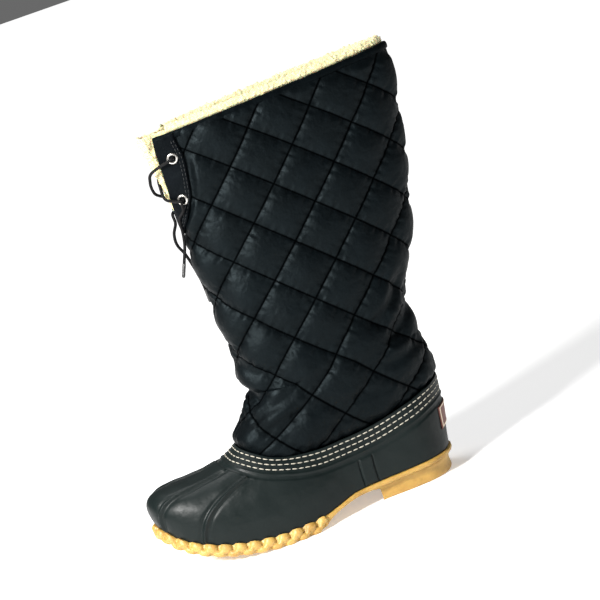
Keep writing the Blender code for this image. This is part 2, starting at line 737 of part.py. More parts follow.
def facing_point(side, height, inset, lift):
    """A point on the facing, and the way out of it."""
    place = np.array([float(split_edge(height)) + inset])
    low = shaft_ring(side, place, height, lift)[0]
    high = shaft_ring(side, place, height, lift + 0.01)[0]
    return Vector(low), Vector(high - low).normalized()


def eyelets(group):
    lift = FACING_TOP + GAP + EYELET_WIRE
    made = []
    number = 1
    for drop in EYELET_DROPS:
        for side in (-1, 1):
            centre, way = facing_point(side, COLLAR_HEIGHT - drop, EYELET_INSET, lift)
            ring = bmesh.new()
            bmesh.ops.create_circle(ring, segments=6, radius=EYELET_WIRE)
            bmesh.ops.rotate(ring, verts=ring.verts[:], matrix=Matrix.Rotation(pi / 2, 3, "X"))
            bmesh.ops.translate(ring, verts=ring.verts[:], vec=(EYELET_RADIUS, 0, 0))
            bmesh.ops.spin(
                ring, geom=ring.verts[:] + ring.edges[:], axis=(0, 0, 1), cent=(0, 0, 0),
                steps=12, angle=2 * pi, use_merge=True,
            )
            bmesh.ops.remove_doubles(ring, verts=ring.verts[:], dist=1e-6)
            bmesh.ops.recalc_face_normals(ring, faces=ring.faces[:])
            mesh = bpy.data.meshes.new(f"eyelet_{number}")
            ring.to_mesh(mesh)
            ring.free()
            eyelet = add_object(f"eyelet_{number}", mesh, NICKEL, group)
            eyelet.rotation_mode = "QUATERNION"
            eyelet.rotation_quaternion = way.to_track_quat("Z", "Y")
            eyelet.location = centre
            made.append(eyelet)
            number += 1
    return made


def heel_label(group):
    """A bare patch on the back of the shell."""
    back = np.array([float(LAST)])
    reach = LABEL_WIDTH / 2 / ridge_spacing(LAST, LABEL_DROP, 0.0)
    a = back + np.linspace(-reach, reach, 9)
    rows = []
    for drop in np.linspace(LABEL_DROP, LABEL_DROP + LABEL_HEIGHT, 4):
        rows.append(shell_row(a, drop, 0.0, STEP_HEIGHT + 2 * GAP)[0])
    patch = add_object("heel_label", sheet_mesh("heel_label", rows, False), LABEL, group)
    solidify(patch, LABEL_THICKNESS, -1)
    return patch


def smooth_route(points, spacing):
    """Points at even spacing on a smooth curve through the route's own points."""
    points = np.asarray(points, float)
    ends = np.concatenate([[2 * points[0] - points[1]], points, [2 * points[-1] - points[-2]]])
    fine = []
    for i in range(len(points) - 1):
        for t in np.linspace(0, 1, 12, endpoint=False):
            p0, p1, p2, p3 = ends[i : i + 4]
            fine.append(
                0.5 * (2 * p1 + (p2 - p0) * t + (2 * p0 - 5 * p1 + 4 * p2 - p3) * t**2
                       + (3 * p1 - p0 - 3 * p2 + p3) * t**3)
            )
    fine.append(points[-1])
    fine = np.array(fine)
    arc = np.concatenate([[0], np.cumsum(np.linalg.norm(np.diff(fine, axis=0), axis=1))])
    count = max(4, int(round(arc[-1] / spacing)) + 1)
    return np.column_stack([np.interp(np.linspace(0, arc[-1], count), arc, fine[:, k]) for k in range(3)])


def cord(name, points, group):
    route = smooth_route(points, LACE_DIAMETER * 1.5)
    curve = bpy.data.curves.new(name, "CURVE")
    curve.dimensions = "3D"
    curve.bevel_depth = LACE_DIAMETER / 2
    curve.bevel_resolution = 1
    curve.use_fill_caps = True
    spline = curve.splines.new("POLY")
    spline.points.add(len(route) - 1)
    for point, place in zip(spline.points, route):
        point.co = (*place, 1)
    return add_object(name, curve, CORD, group)


def as_mesh(obj, group):
    """The curve as a welded mesh object in its place."""
    bpy.context.view_layer.update()
    graph = bpy.context.evaluated_depsgraph_get()
    mesh = bpy.data.meshes.new_from_object(obj.evaluated_get(graph))
    weld = bmesh.new()
    weld.from_mesh(mesh)
    bmesh.ops.remove_doubles(weld, verts=weld.verts[:], dist=1e-5)
    bmesh.ops.recalc_face_normals(weld, faces=weld.faces[:])
    weld.to_mesh(mesh)
    weld.free()
    name = obj.name
    made = bpy.data.objects.new(name + "_mesh", mesh)
    made.matrix_world = obj.matrix_world
    group.objects.link(made)
    bpy.data.objects.remove(obj)
    made.name = name
    return made


def lace_bar(name, start_side, group):
    """One bar of the crossing, from a top eyelet down to the lower eyelet of the other side."""
    lift = LACE_LIFT
    top, top_way = facing_point(start_side, COLLAR_HEIGHT - EYELET_DROPS[0], EYELET_INSET, lift)
    low, low_way = facing_point(-start_side, COLLAR_HEIGHT - EYELET_DROPS[1], EYELET_INSET, lift)
    height = COLLAR_HEIGHT - (EYELET_DROPS[0] + EYELET_DROPS[1]) / 2
    front = shaft_section(height)[0]
    middle = Vector((front - LACE_DIAMETER * 1.6, 0, height))
    near_top = top.lerp(middle, 0.5) + top_way * 0.004
    near_low = low.lerp(middle, 0.5) + low_way * 0.004
    return cord(name, [top, near_top, middle, near_low, low], group)


def lace_crossing(group, cutters):
    bar = as_mesh(lace_bar("lace_crossing", -1, group), group)
    other = as_mesh(lace_bar("lace_crossing_bar", 1, cutters), cutters)
    other.hide_render = True
    other.display_type = "WIRE"
    join = bar.modifiers.new("Cross", "BOOLEAN")
    join.operation = "UNION"
    join.solver = "EXACT"
    join.object = other
    return bar


def lace_end(name, side, route, group):
    """A loose end from the lower eyelet: forward, across and height from the split's foot."""
    front = shaft_section(split_height())[0]
    lift = FACING_TOP + 1.5 * GAP + LACE_DIAMETER / 2
    start, way = facing_point(side, COLLAR_HEIGHT - EYELET_DROPS[1] - EYELET_RADIUS * 2.2, EYELET_INSET, lift)
    points = [start]
    for forward, across, height in route:
        points.append(Vector((front - forward, across, split_height() + height)))
    return cord(name, points, group)


LACE_END_LONG = [
    (0.006, 0.012, 0.006), (0.009, 0.008, -0.006), (0.009, 0.004, -0.017), (0.007, 0.006, -0.028),
    (0.004, 0.013, -0.038), (0.000, 0.020, -0.050), (-0.003, 0.025, -0.064), (-0.004, 0.027, -0.080),
]
LACE_END_SHORT = [
    (0.008, -0.008, 0.004), (0.009, -0.006, -0.008), (0.010, -0.006, -0.020),
    (0.012, -0.007, -0.031), (0.014, -0.008, -0.042),
]


def stand_on_origin(root, parts, loose):
    """Puts the middle of the boot's footprint, without its loose cords, over the origin."""
    bpy.context.view_layer.update()
    graph = bpy.context.evaluated_depsgraph_get()
    corners = []
    for obj in parts:
        if obj in loose:
            continue
        evaluated = obj.evaluated_get(graph)
        corners += [evaluated.matrix_world @ Vector(corner) for corner in evaluated.bound_box]
    low = [min(c[k] for c in corners) for k in range(3)]
    high = [max(c[k] for c in corners) for k in range(3)]
    root.location = (-(low[0] + high[0]) / 2, -(low[1] + high[1]) / 2, -low[2])


def main():
    for obj in list(bpy.data.objects):
        bpy.data.objects.remove(obj)
    boot = collection("duck_boot")
    cutters = collection("cutters")
    parts = [
        outsole(boot, cutters),
        insole(boot),
        rubber_shell(boot),
        quilted_shaft(boot),
        facing(boot, "facing_lateral", -1),
        facing(boot, "facing_medial", 1),
        gusset(boot),
        fleece_collar(boot),
        heel_label(boot),
    ]
    parts += eyelets(boot)
    parts.append(lace_crossing(boot, cutters))
    loose = [
        lace_end("lace_end_long", 1, LACE_END_LONG, boot),
        lace_end("lace_end_short", -1, LACE_END_SHORT, boot),
    ]
    parts += loose
    root = bpy.data.objects.new("boot", None)
    boot.objects.link(root)
    stand_on_origin(root, parts, loose)
    for obj in parts + [o for o in cutters.objects]:
        obj.parent = root


main()
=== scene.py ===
from collections import namedtuple
from math import cos, pi, radians, sin

import bmesh
import bpy
import numpy as np
from mathutils import Matrix, Vector, noise


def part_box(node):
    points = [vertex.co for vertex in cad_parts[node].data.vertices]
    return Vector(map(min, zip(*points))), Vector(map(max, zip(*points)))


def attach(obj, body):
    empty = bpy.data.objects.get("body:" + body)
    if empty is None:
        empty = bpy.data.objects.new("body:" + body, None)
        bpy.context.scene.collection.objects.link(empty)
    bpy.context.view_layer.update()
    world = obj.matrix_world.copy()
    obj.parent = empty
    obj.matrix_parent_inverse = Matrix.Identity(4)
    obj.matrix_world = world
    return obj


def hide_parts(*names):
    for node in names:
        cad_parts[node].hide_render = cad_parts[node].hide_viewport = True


bl_info = {
    "name": "Quilted Duck Boot",
    "version": (1, 0, 0),
    "blender": (4, 5, 0),
    "location": "3D View > Sidebar > Boot",
    "description": "Dresses a tall left duck boot: rubber shoe, gum sole, quilted shaft, fleece and laces",
    "category": "Object",
}

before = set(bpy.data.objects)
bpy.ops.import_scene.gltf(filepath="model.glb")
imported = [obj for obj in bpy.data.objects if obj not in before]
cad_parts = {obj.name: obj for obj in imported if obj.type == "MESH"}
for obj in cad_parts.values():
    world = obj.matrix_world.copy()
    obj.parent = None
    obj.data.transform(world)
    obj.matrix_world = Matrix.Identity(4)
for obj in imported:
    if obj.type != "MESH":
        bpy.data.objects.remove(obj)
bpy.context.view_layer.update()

FOOT_LENGTH = 0.273
BALL_WIDTH = 0.104
HEEL_WIDTH = 0.072
TOE_SPRING = 0.025
ARCH_HEIGHT = 0.0165
SOLE_THICKNESS = 0.0098
RIM_OVERHANG = 0.0020
HEEL_BREAST = 0.1945
HEEL_BREAST_HOLLOW = 0.005
HEEL_SHELF = 0.007
LUG_PITCH = 0.0125
LUG_DEPTH = 0.0022
LUG_SCALLOP = 0.0016
LUG_END_LATERAL = 7.6
LUG_END_MEDIAL = 6.8
THROAT_HEIGHT = 0.088
SHELL_WALL = 0.0025
SHELL_SEAT = 0.0006
MARGIN = 0.024
RIB_DROP = 0.0175
STEP_DROP = 0.0225
BAND_ROW = 9.55
COLLAR_HEIGHT = 0.372
COLLAR_TILT = 0.0055
ANKLE_HEIGHT = 0.128
SHAFT_FRONT = 0.119
SHAFT_LEAN = 0.0195
ANKLE_BACK = 0.2735
CALF_REACH = 0.057
ANKLE_THICKNESS = 0.078
COLLAR_THICKNESS = 0.056
SECTION_POWER = 2.2
SHAFT_WALL = 0.0030
TUCK = 0.012
TUCK_CLEARANCE = 0.0013
DIAMOND_WIDTH = 0.056
DIAMOND_HEIGHT = 0.0525
QUILT_FRONT = 0.095
QUILT_HEIGHT = 0.298
SPLIT_LENGTH = 0.080
SPLIT_OPENING = 0.017
FACING_WIDTH = 0.023
FACING_THICKNESS = 0.0014
FACING_TAIL = 0.008
FACING_LIFT = 0.0010
GUSSET_OVERLAP = 0.016
GUSSET_CLEARANCE = 0.0013
FLEECE_STAND = 0.0075
FLEECE_DEPTH = 0.022
FLEECE_THICKNESS = 0.0060
EYELET_RADIUS = 0.0042
EYELET_WIRE = 0.0009
EYELET_DROPS = (0.021, 0.058)
EYELET_INSET = 0.0135
LACE_DIAMETER = 0.0030
LACE_CLEARANCE = 0.0010
LABEL_WIDTH = 0.040
LABEL_HEIGHT = 0.0200
LABEL_DROP = 0.0240
LABEL_THICKNESS = 0.0012
GAP = 0.0003
FACING_TOP = FACING_LIFT + FACING_THICKNESS
LACE_LIFT = FACING_TOP + GAP + 2 * EYELET_WIRE + LACE_CLEARANCE + LACE_DIAMETER / 2

# The toe tip of the shoe's own frame, in the row frame.
TOE_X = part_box("outsole")[0][0] + RIM_OVERHANG + LUG_DEPTH
MIDDLE_Y = (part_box("facing_lateral")[0][1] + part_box("facing_medial")[1][1]) / 2
HOME = np.array([TOE_X, MIDDLE_Y, 0.0])

Section = namedtuple(
    "Section",
    "x lateral medial spring arch band top_x top_lateral top_medial top_z rise bulge spread drop",
)

# One row for each section from toe tip to heel, as shares of the lengths, widths and heights above.
SECTIONS = [
    Section(0.000, -0.087, 0.087, 1.28, 0.00, 1.00, 0.326, 0.000, 0.000, 1.000, 0.59, 0.175, 0.48, 0.380),
    Section(0.013, 0.062, 0.226, 1.17, 0.00, 1.00, 0.327, 0.045, 0.045, 0.998, 0.59, 0.165, 0.48, 0.380),
    Section(0.050, 0.212, 0.346, 0.85, 0.00, 1.00, 0.332, 0.130, 0.130, 0.983, 0.58, 0.130, 0.50, 0.330),
    Section(0.114, 0.337, 0.418, 0.51, 0.00, 1.00, 0.350, 0.212, 0.202, 0.949, 0.515, 0.078, 0.53, 0.255),
    Section(0.196, 0.423, 0.452, 0.24, 0.00, 1.00, 0.377, 0.274, 0.260, 0.898, 0.42, 0.034, 0.55, 0.180),
    Section(0.286, 0.481, 0.462, 0.08, 0.00, 0.98, 0.412, 0.317, 0.298, 0.841, 0.38, 0.028, 0.54, 0.120),
    Section(0.375, 0.500, 0.447, 0.00, 0.00, 0.98, 0.461, 0.346, 0.317, 0.795, 0.38, 0.023, 0.52, 0.102),
    Section(0.464, 0.486, 0.399, 0.00, 0.00, 0.98, 0.521, 0.361, 0.324, 0.767, 0.33, 0.017, 0.45, 0.136),
    Section(0.554, 0.466, 0.355, 0.00, 0.58, 0.38, 0.589, 0.380, 0.340, 0.750, 0.27, 0.011, 0.35, 0.170),
    Section(0.643, 0.463, 0.350, 0.00, 0.82, 0.46, 0.664, 0.410, 0.365, 0.750, 0.23, 0.011, 0.30, 0.182),
    Section(0.732, 0.490, 0.410, 0.00, 0.85, 0.47, 0.743, 0.455, 0.415, 0.767, 0.23, 0.017, 0.30, 0.182),
    Section(0.821, 0.497, 0.457, 0.00, 0.90, 0.45, 0.821, 0.458, 0.430, 0.812, 0.23, 0.023, 0.40, 0.182),
    Section(0.900, 0.465, 0.445, 0.00, 0.94, 0.44, 0.906, 0.417, 0.403, 0.866, 0.23, 0.028, 0.60, 0.182),
    Section(0.955, 0.347, 0.340, 0.00, 0.97, 0.43, 0.974, 0.319, 0.319, 0.918, 0.23, 0.012, 0.45, 0.200),
    Section(0.983, 0.181, 0.181, 0.00, 0.99, 0.43, 1.013, 0.167, 0.167, 0.950, 0.23, -0.020, 0.15, 0.220),
    Section(0.993, 0.000, 0.000, 0.00, 1.00, 0.43, 1.028, 0.000, 0.000, 0.962, 0.23, -0.025, 0.05, 0.230),
]
LAST = len(SECTIONS) - 1
TURN = 2 * LAST
BALL_ENDS = 0.45
HEEL_STARTS = 0.75

ShaftRow = namedtuple("ShaftRow", "height lean reach thickness")
SHAFT_ROWS = [
    ShaftRow(0.00, 0.00, 0.00, 0.00),
    ShaftRow(0.10, 0.13, 0.00, 0.05),
    ShaftRow(0.23, 0.18, 0.19, 0.12),
    ShaftRow(0.38, 0.26, 0.46, 0.30),
    ShaftRow(0.54, 0.36, 0.66, 0.50),
    ShaftRow(0.70, 0.50, 0.81, 0.70),
    ShaftRow(0.86, 0.72, 0.925, 0.88),
    ShaftRow(1.00, 1.00, 1.00, 1.00),
]

Ridge = namedtuple("Ridge", "top foot")

# The vamp's three ridges, as places round the shoe in sections from its toe tip, at the topline and sole.
RIDGE_ROWS = [Ridge(2.4, 1.3), Ridge(4.3, 3.1), Ridge(-1.2, -1.2)]

Crease = namedtuple("Crease", "side place height angle length width depth")

# The shaft's main creases: side is -1 lateral and 1 medial, place is the distance round from
# the front, and angle is in degrees up from the horizontal, seen from that side with the toe to the left.
CREASES = [
    Crease(-1, 0.012, 0.128, -24, 0.050, 0.0060, 0.0040),
    Crease(-1, 0.030, 0.112, 18, 0.060, 0.0055, 0.0026),
    Crease(-1, 0.022, 0.150, -38, 0.050, 0.0050, 0.0022),
    Crease(-1, 0.052, 0.100, 8, 0.055, 0.0045, 0.0018),
    Crease(-1, 0.165, 0.146, 30, 0.060, 0.0065, 0.0042),
    Crease(-1, 0.158, 0.170, 42, 0.060, 0.0050, 0.0030),
    Crease(-1, 0.150, 0.118, 12, 0.055, 0.0050, 0.0024),
    Crease(-1, 0.110, 0.098, -12, 0.050, 0.0045, 0.0016),
    Crease(1, 0.014, 0.130, -20, 0.050, 0.0060, 0.0036),
    Crease(1, 0.040, 0.110, 14, 0.060, 0.0055, 0.0024),
    Crease(1, 0.162, 0.148, 26, 0.060, 0.0065, 0.0040),
    Crease(1, 0.140, 0.120, 10, 0.055, 0.0050, 0.0022),
    Crease(1, 0.095, 0.104, -8, 0.050, 0.0045, 0.0016),
]

# The laces' free stretches, as distances towards the toe, across (medial positive) and up: the loops from
# the lateral lower eyelet, and the ends from the shaft's front at the foot of the split.
LOOP_LATERAL = [
    (0.0140, -0.0095, 0.0300), (0.0178, -0.0050, 0.0225),
    (0.0176, 0.0000, 0.0140), (0.0140, 0.0060, 0.0080),
]
LOOP_MEDIAL = [
    (0.0085, 0.0040, 0.0240), (0.0110, -0.0020, 0.0130),
    (0.0110, -0.0060, 0.0055), (0.0080, -0.0100, 0.0020),
]
LACE_END_LONG = [
    (0.003, 0.012, 0.006), (0.004, 0.006, -0.002), (0.0085, 0.003, -0.010), (0.009, 0.005, -0.020),
    (0.004, 0.013, -0.032), (0.000, 0.020, -0.047), (-0.003, 0.025, -0.063), (-0.004, 0.027, -0.080),
]
LACE_END_SHORT = [
    (0.001, -0.009, 0.002), (0.002, -0.007, -0.010), (0.004, -0.006, -0.021),
    (0.009, -0.006, -0.034), (0.014, -0.007, -0.046),
]


def column(name, rows=SECTIONS):
    return np.array([getattr(row, name) for row in rows])


def monotone(places, values, at):
    """A smooth curve through the values that never swings past them, level at both ends."""
    places = np.asarray(places, float)
    values = np.asarray(values, float)
    steps = np.diff(places)
    slopes = np.diff(values) / steps
    tangents = np.zeros(len(values))
    for i in range(1, len(values) - 1):
        if slopes[i - 1] * slopes[i] > 0:
            tangents[i] = 2 * slopes[i - 1] * slopes[i] / (slopes[i - 1] + slopes[i])
    at = np.clip(at, places[0], places[-1])
    i = np.clip(np.searchsorted(places, at, side="right") - 1, 0, len(steps) - 1)
    t = (at - places[i]) / steps[i]
    start = (1 + 2 * t) * (1 - t) ** 2 * values[i] + t * (1 - t) ** 2 * steps[i] * tangents[i]
    end = t * t * (3 - 2 * t) * values[i + 1] + t * t * (t - 1) * steps[i] * tangents[i + 1]
    return start + end


def run_along(points):
    """The distance along the points, 0 at the first."""
    return np.concatenate([[0], np.cumsum(np.linalg.norm(np.diff(points, axis=0), axis=1))])


def read_at(place, along, points):
    """The points read at a place, or at many, of their distances along."""
    return np.stack([np.interp(place, along, points[:, k]) for k in range(3)], axis=-1)


def smoothstep(low, high, value):
    t = np.clip((value - low) / (high - low), 0, 1)
    return t * t * (3 - 2 * t)


def spline(p0, p1, p2, p3, t):
    """A smooth curve from p1 to p2, at t of the way."""
    square, cube = 2 * p0 - 5 * p1 + 4 * p2 - p3, 3 * p1 - p0 - 3 * p2 + p3
    return 0.5 * (2 * p1 + (p2 - p0) * t + square * t**2 + cube * t**3)


def round_loop(points, a):
    """A closed smooth curve through the points, read at a, counted in points."""
    i = np.floor(a).astype(int)
    near = (points[(i + k) % len(points)] for k in (-1, 0, 1, 2))
    return spline(*near, (a - i)[:, None])


def section_row(a):
    a = np.mod(a, TURN)
    return np.minimum(a, TURN - a)


def by_row(name, a):
    return monotone(range(LAST + 1), column(name), section_row(a))


def width_at(x_share):
    return BALL_WIDTH + (HEEL_WIDTH - BALL_WIDTH) * smoothstep(BALL_ENDS, HEEL_STARTS, x_share)


def plan_loop(x_name, lateral_name, medial_name):
    x = column(x_name)
    width = width_at(column("x"))
    lateral = np.stack([x * FOOT_LENGTH, -column(lateral_name) * width], axis=1)
    medial = np.stack([x * FOOT_LENGTH, column(medial_name) * width], axis=1)
    return np.concatenate([lateral, medial[-2:0:-1]])


def outline(a):
    return round_loop(plan_loop("x", "lateral", "medial"), np.asarray(a, float))


def outline_normal(a):
    ahead = outline(a + 0.02) - outline(a - 0.02)
    normal = np.stack([ahead[:, 1], -ahead[:, 0]], axis=1)
    return normal / np.linalg.norm(normal, axis=1)[:, None]


def sole_bottom(a):
    return by_row("spring", a) * TOE_SPRING + by_row("arch", a) * ARCH_HEIGHT


def sole_rim(a):
    return sole_bottom(a) + by_row("band", a) * SOLE_THICKNESS


def topline(a):
    plan = round_loop(plan_loop("top_x", "top_lateral", "top_medial"), np.asarray(a, float))
    return np.column_stack([plan, by_row("top_z", a) * THROAT_HEIGHT])


def meridians(a):
    """The shell's outer surface as curves from the topline down to the sole: (steps, points, 3)."""
    a = np.asarray(a, float)
    foot = np.column_stack([outline(a), sole_rim(a) + SHELL_SEAT])
    top = topline(a)
    out = foot - top
    out[:, 2] = 0
    way = out / np.linalg.norm(out, axis=1)[:, None]
    up = np.array([0, 0, 1.0])
    low = foot + up * (by_row("rise", a) * THROAT_HEIGHT)[:, None]
    low = low + way * (by_row("bulge", a) * THROAT_HEIGHT)[:, None]
    high = top + out * by_row("spread", a)[:, None] - up * (by_row("drop", a) * THROAT_HEIGHT)[:, None]
    t = np.linspace(0, 1, 61)[:, None, None]
    return (1 - t) ** 3 * top + 3 * t * (1 - t) ** 2 * high + 3 * t * t * (1 - t) * low + t**3 * foot


def shell_grid(a, fixed, share):
    """Points and outward normals of the shell at every level and place round: two (levels, places, 3)."""
    a = np.asarray(a, float)
    fixed = np.asarray(fixed, float)
    share = np.asarray(share, float)
    grids = []
    for shift, lower in ((0.0, 0.0), (0.01, 0.0), (-0.01, 0.0), (0.0, 0.0004), (0.0, -0.0004)):
        curves = meridians(a + shift)
        lengths = np.linalg.norm(np.diff(curves, axis=0), axis=2)
        lengths = np.concatenate([np.zeros((1, len(a))), np.cumsum(lengths, axis=0)])
        points = np.empty((len(fixed), len(a), 3))
        for i in range(len(a)):
            down = fixed + share * (lengths[-1, i] - MARGIN) + lower
            points[:, i] = read_at(down, lengths[:, i], curves[:, i])
        grids.append(points)
    normals = np.cross(grids[3] - grids[4], grids[1] - grids[2])
    return grids[0], normals / np.linalg.norm(normals, axis=2)[:, :, None]


def shaft_section(height):
    share = (height - ANKLE_HEIGHT) / (COLLAR_HEIGHT - ANKLE_HEIGHT)
    lean, reach, slim = (
        monotone(column("height", SHAFT_ROWS), column(name, SHAFT_ROWS), share)
        for name in ("lean", "reach", "thickness")
    )
    deep = (ANKLE_THICKNESS + (COLLAR_THICKNESS - ANKLE_THICKNESS) * slim) / 2
    return SHAFT_FRONT - SHAFT_LEAN * lean, ANKLE_BACK + CALF_REACH * reach, deep


def half_oval(height):
    front, back, deep = shaft_section(height)
    long = (back - front) / 2
    angle = np.linspace(0, pi, 361)
    c, s = np.cos(angle), np.sin(angle)
    x = np.sign(c) * np.abs(c) ** (2 / SECTION_POWER)
    y = np.abs(s) ** (2 / SECTION_POWER)
    points = np.column_stack([front + long - long * x, deep * y])
    normals = np.column_stack(
        [-np.sign(x) * np.abs(x) ** (SECTION_POWER - 1) / long, y ** (SECTION_POWER - 1) / deep]
    )
    normals /= np.linalg.norm(normals, axis=1)[:, None]
    arc = run_along(points)
    return arc, points, normals


def half_girth(height):
    return half_oval(height)[0][-1]


def shaft_ring(side, places, height, lift=0.0):
    """Points on one side (-1 lateral, 1 medial) at distances round from the front, moved out by lift."""
    arc, points, normals = half_oval(height)
    places = np.clip(places, 0, arc[-1])
    x, y, nx, ny = (np.interp(places, arc, values) for values in (*points.T, *normals.T))
    size = np.hypot(nx, ny)
    lift = np.broadcast_to(lift, len(places))
    x = x + lift * nx / size
    y = y + lift * ny / size
    front, back, _ = shaft_section(height)
    rise = (height - ANKLE_HEIGHT) / (COLLAR_HEIGHT - ANKLE_HEIGHT)
    z = height + COLLAR_TILT * rise * (2 * (x - front) / (back - front) - 1)
    return np.column_stack([x, side * y, z])


def topline_place(side, share):
    rows = np.linspace(0, LAST, 481)
    a = rows if side < 0 else TURN - rows
    points = topline(a)
    arc = run_along(points)
    return np.interp(share, arc / arc[-1], a)


def split_height():
    return COLLAR_HEIGHT - SPLIT_LENGTH


def split_edge(height):
    return SPLIT_OPENING * np.clip((height - split_height()) / SPLIT_LENGTH, 0, 1)


def facing_reach(height):
    share = (height - split_height() + FACING_TAIL) / (SPLIT_LENGTH + FACING_TAIL)
    width = monotone([0, 0.12, 0.4, 0.75, 1], [0.18, 0.55, 0.95, 1.0, 0.86], share)
    return split_edge(height) + FACING_WIDTH * width


def facing_point(side, height, inset, lift):
    place = np.array([split_edge(height) + inset])
    low = shaft_ring(side, place, height, lift)[0]
    high = shaft_ring(side, place, height, lift + 0.01)[0]
    return Vector(low), Vector(high - low).normalized()


def smooth_route(points, spacing):
    points = np.asarray(points, float)
    ends = np.concatenate([[2 * points[0] - points[1]], points, [2 * points[-1] - points[-2]]])
    steps = np.linspace(0, 1, 12, endpoint=False)
    fine = [spline(*ends[i : i + 4], t) for i in range(len(points) - 1) for t in steps]
    fine = np.array([*fine, points[-1]])
    arc = run_along(fine)
    count = max(4, int(round(arc[-1] / spacing)) + 1)
    return read_at(np.linspace(0, arc[-1], count), arc, fine)


def row_frame(points):
    return np.asarray(points, float) + HOME


def speckle(points, size, depth, octaves=3):
    """Smooth random heights for points, one lump for each size."""
    flat = np.asarray(points, float).reshape(-1, 3) / size
    values = [noise.fractal(Vector(p), 0.9, 2.0, octaves) for p in flat]
    return depth * np.array(values).reshape(np.shape(points)[:-1])


def lumps(points, size, depth):
    """Round curls: high in the middle of each cell and low between cells."""
    flat = np.asarray(points, float).reshape(-1, 3) / size
    near = [noise.voronoi(Vector(p))[0][:2] for p in flat]
    values = np.array([min(1.0, (b - a) * 1.6) for a, b in near])
    return depth * (values.reshape(np.shape(points)[:-1]) - 0.5)


def sheet_normals(rows, inside):
    """The outward normals of a sheet of points, for a point inside it."""
    along = np.gradient(rows, axis=1)
    down = np.gradient(rows, axis=0)
    normals = np.cross(along, down)
    normals /= np.maximum(np.linalg.norm(normals, axis=2), 1e-12)[:, :, None]
    side = np.sum(normals * (rows - np.asarray(inside)), axis=2)
    return normals if side.sum() > 0 else -normals


def spans(rows, axis):
    steps = np.linalg.norm(np.diff(rows, axis=axis), axis=2)
    pad = [(0, 0), (0, 0)]
    pad[axis] = (1, 0)
    return np.pad(np.cumsum(steps, axis=axis), pad)


def sheet(bm, rows, inside, uv=None):
    """Adds a grid through rows of points, facing away from the point inside it, its UVs in metres."""
    rows = np.asarray(rows, float)
    tall, wide = rows.shape[:2]
    if uv is None:
        uv = np.stack([spans(rows, 1), spans(rows, 0)], axis=2)
    layer = bm.loops.layers.uv.verify()
    made = bmesh.ops.create_grid(bm, x_segments=wide - 1, y_segments=tall - 1, size=1.0)["verts"]
    for vert, point in zip(made, row_frame(rows.reshape(-1, 3))):
        vert.co = point
    places = dict(zip(made, uv.reshape(-1, 2)))
    faces = faces_of(made)
    centre = Vector(row_frame(inside))
    facing = 0.0
    for face in faces:
        face.normal_update()
        facing += face.calc_area() * face.normal.dot(face.calc_center_median() - centre)
        for loop in face.loops:
            loop[layer].uv = places[loop.vert]
    if facing < 0:
        bmesh.ops.reverse_faces(bm, faces=faces)
    return made


def faces_of(verts):
    return list({face for vert in verts for face in vert.link_faces})


def weld(bm, distance=1e-5):
    bmesh.ops.remove_doubles(bm, verts=bm.verts[:], dist=distance)


def add_piece(name, bm, finish, nodes=(), sharp=0.9):
    mesh = bpy.data.meshes.new(name)
    bm.to_mesh(mesh)
    bm.free()
    mesh.materials.append(finish)
    mesh.shade_smooth()
    mesh.set_sharp_from_angle(angle=sharp)
    obj = bpy.data.objects.new(name, mesh)
    bpy.context.scene.collection.objects.link(obj)
    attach(obj, "root")
    if nodes:
        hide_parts(*nodes)
    return obj


def thicken(obj, wall):
    solid = obj.modifiers.new("Wall", "SOLIDIFY")
    solid.thickness = wall
    solid.offset = -1
    solid.use_quality_normals = True


def sheet_piece(name, rows, inside, finish, nodes=(), uv=None, wall=None, inward=False, sharp=0.9):
    """A piece of one sheet: with a wall if one is given, and facing inward if asked."""
    bm = bmesh.new()
    made = sheet(bm, rows, inside, uv)
    if inward:
        bmesh.ops.reverse_faces(bm, faces=faces_of(made))
    obj = add_piece(name, bm, finish, nodes, sharp)
    if wall:
        thicken(obj, wall)


def tube_rows(route, sizes, sides):
    """Rings of points round a route, closed: the last column repeats the first."""
    ahead = np.gradient(route, axis=0)
    ahead /= np.linalg.norm(ahead, axis=1)[:, None]
    turn = np.linspace(0, 2 * pi, sides + 1)[:, None]
    up = np.array(CORD_UP)
    rows = []
    for place, way, size in zip(route, ahead, sizes):
        up = up - way * np.dot(up, way)
        up /= np.linalg.norm(up)
        rows.append(place + size * (np.cos(turn) * up + np.sin(turn) * np.cross(way, up)))
    return np.array(rows)


def add_tube(bm, route, radius, sides):
    """A round cord along the route with closed, rounded ends, its UVs round by along in metres."""
    reach, size = np.array(CORD_CAPS).T
    start, end = route[0], route[-1]
    first = (start - route[1]) / np.linalg.norm(start - route[1])
    last = (end - route[-2]) / np.linalg.norm(end - route[-2])
    head = start + first * radius * reach[:, None]
    tail = end + last * radius * reach[::-1, None]
    sizes = radius * np.concatenate([size, np.ones(len(route)), size[::-1]])
    route = np.concatenate([head, route, tail])
    rows = tube_rows(route, sizes, sides)
    length = run_along(route)
    uv = np.stack(np.meshgrid(np.linspace(0, 1, sides + 1), length), axis=2)
    made = sheet(bm, rows, route[len(route) // 2], uv)
    bmesh.ops.remove_doubles(bm, verts=made, dist=2e-6)


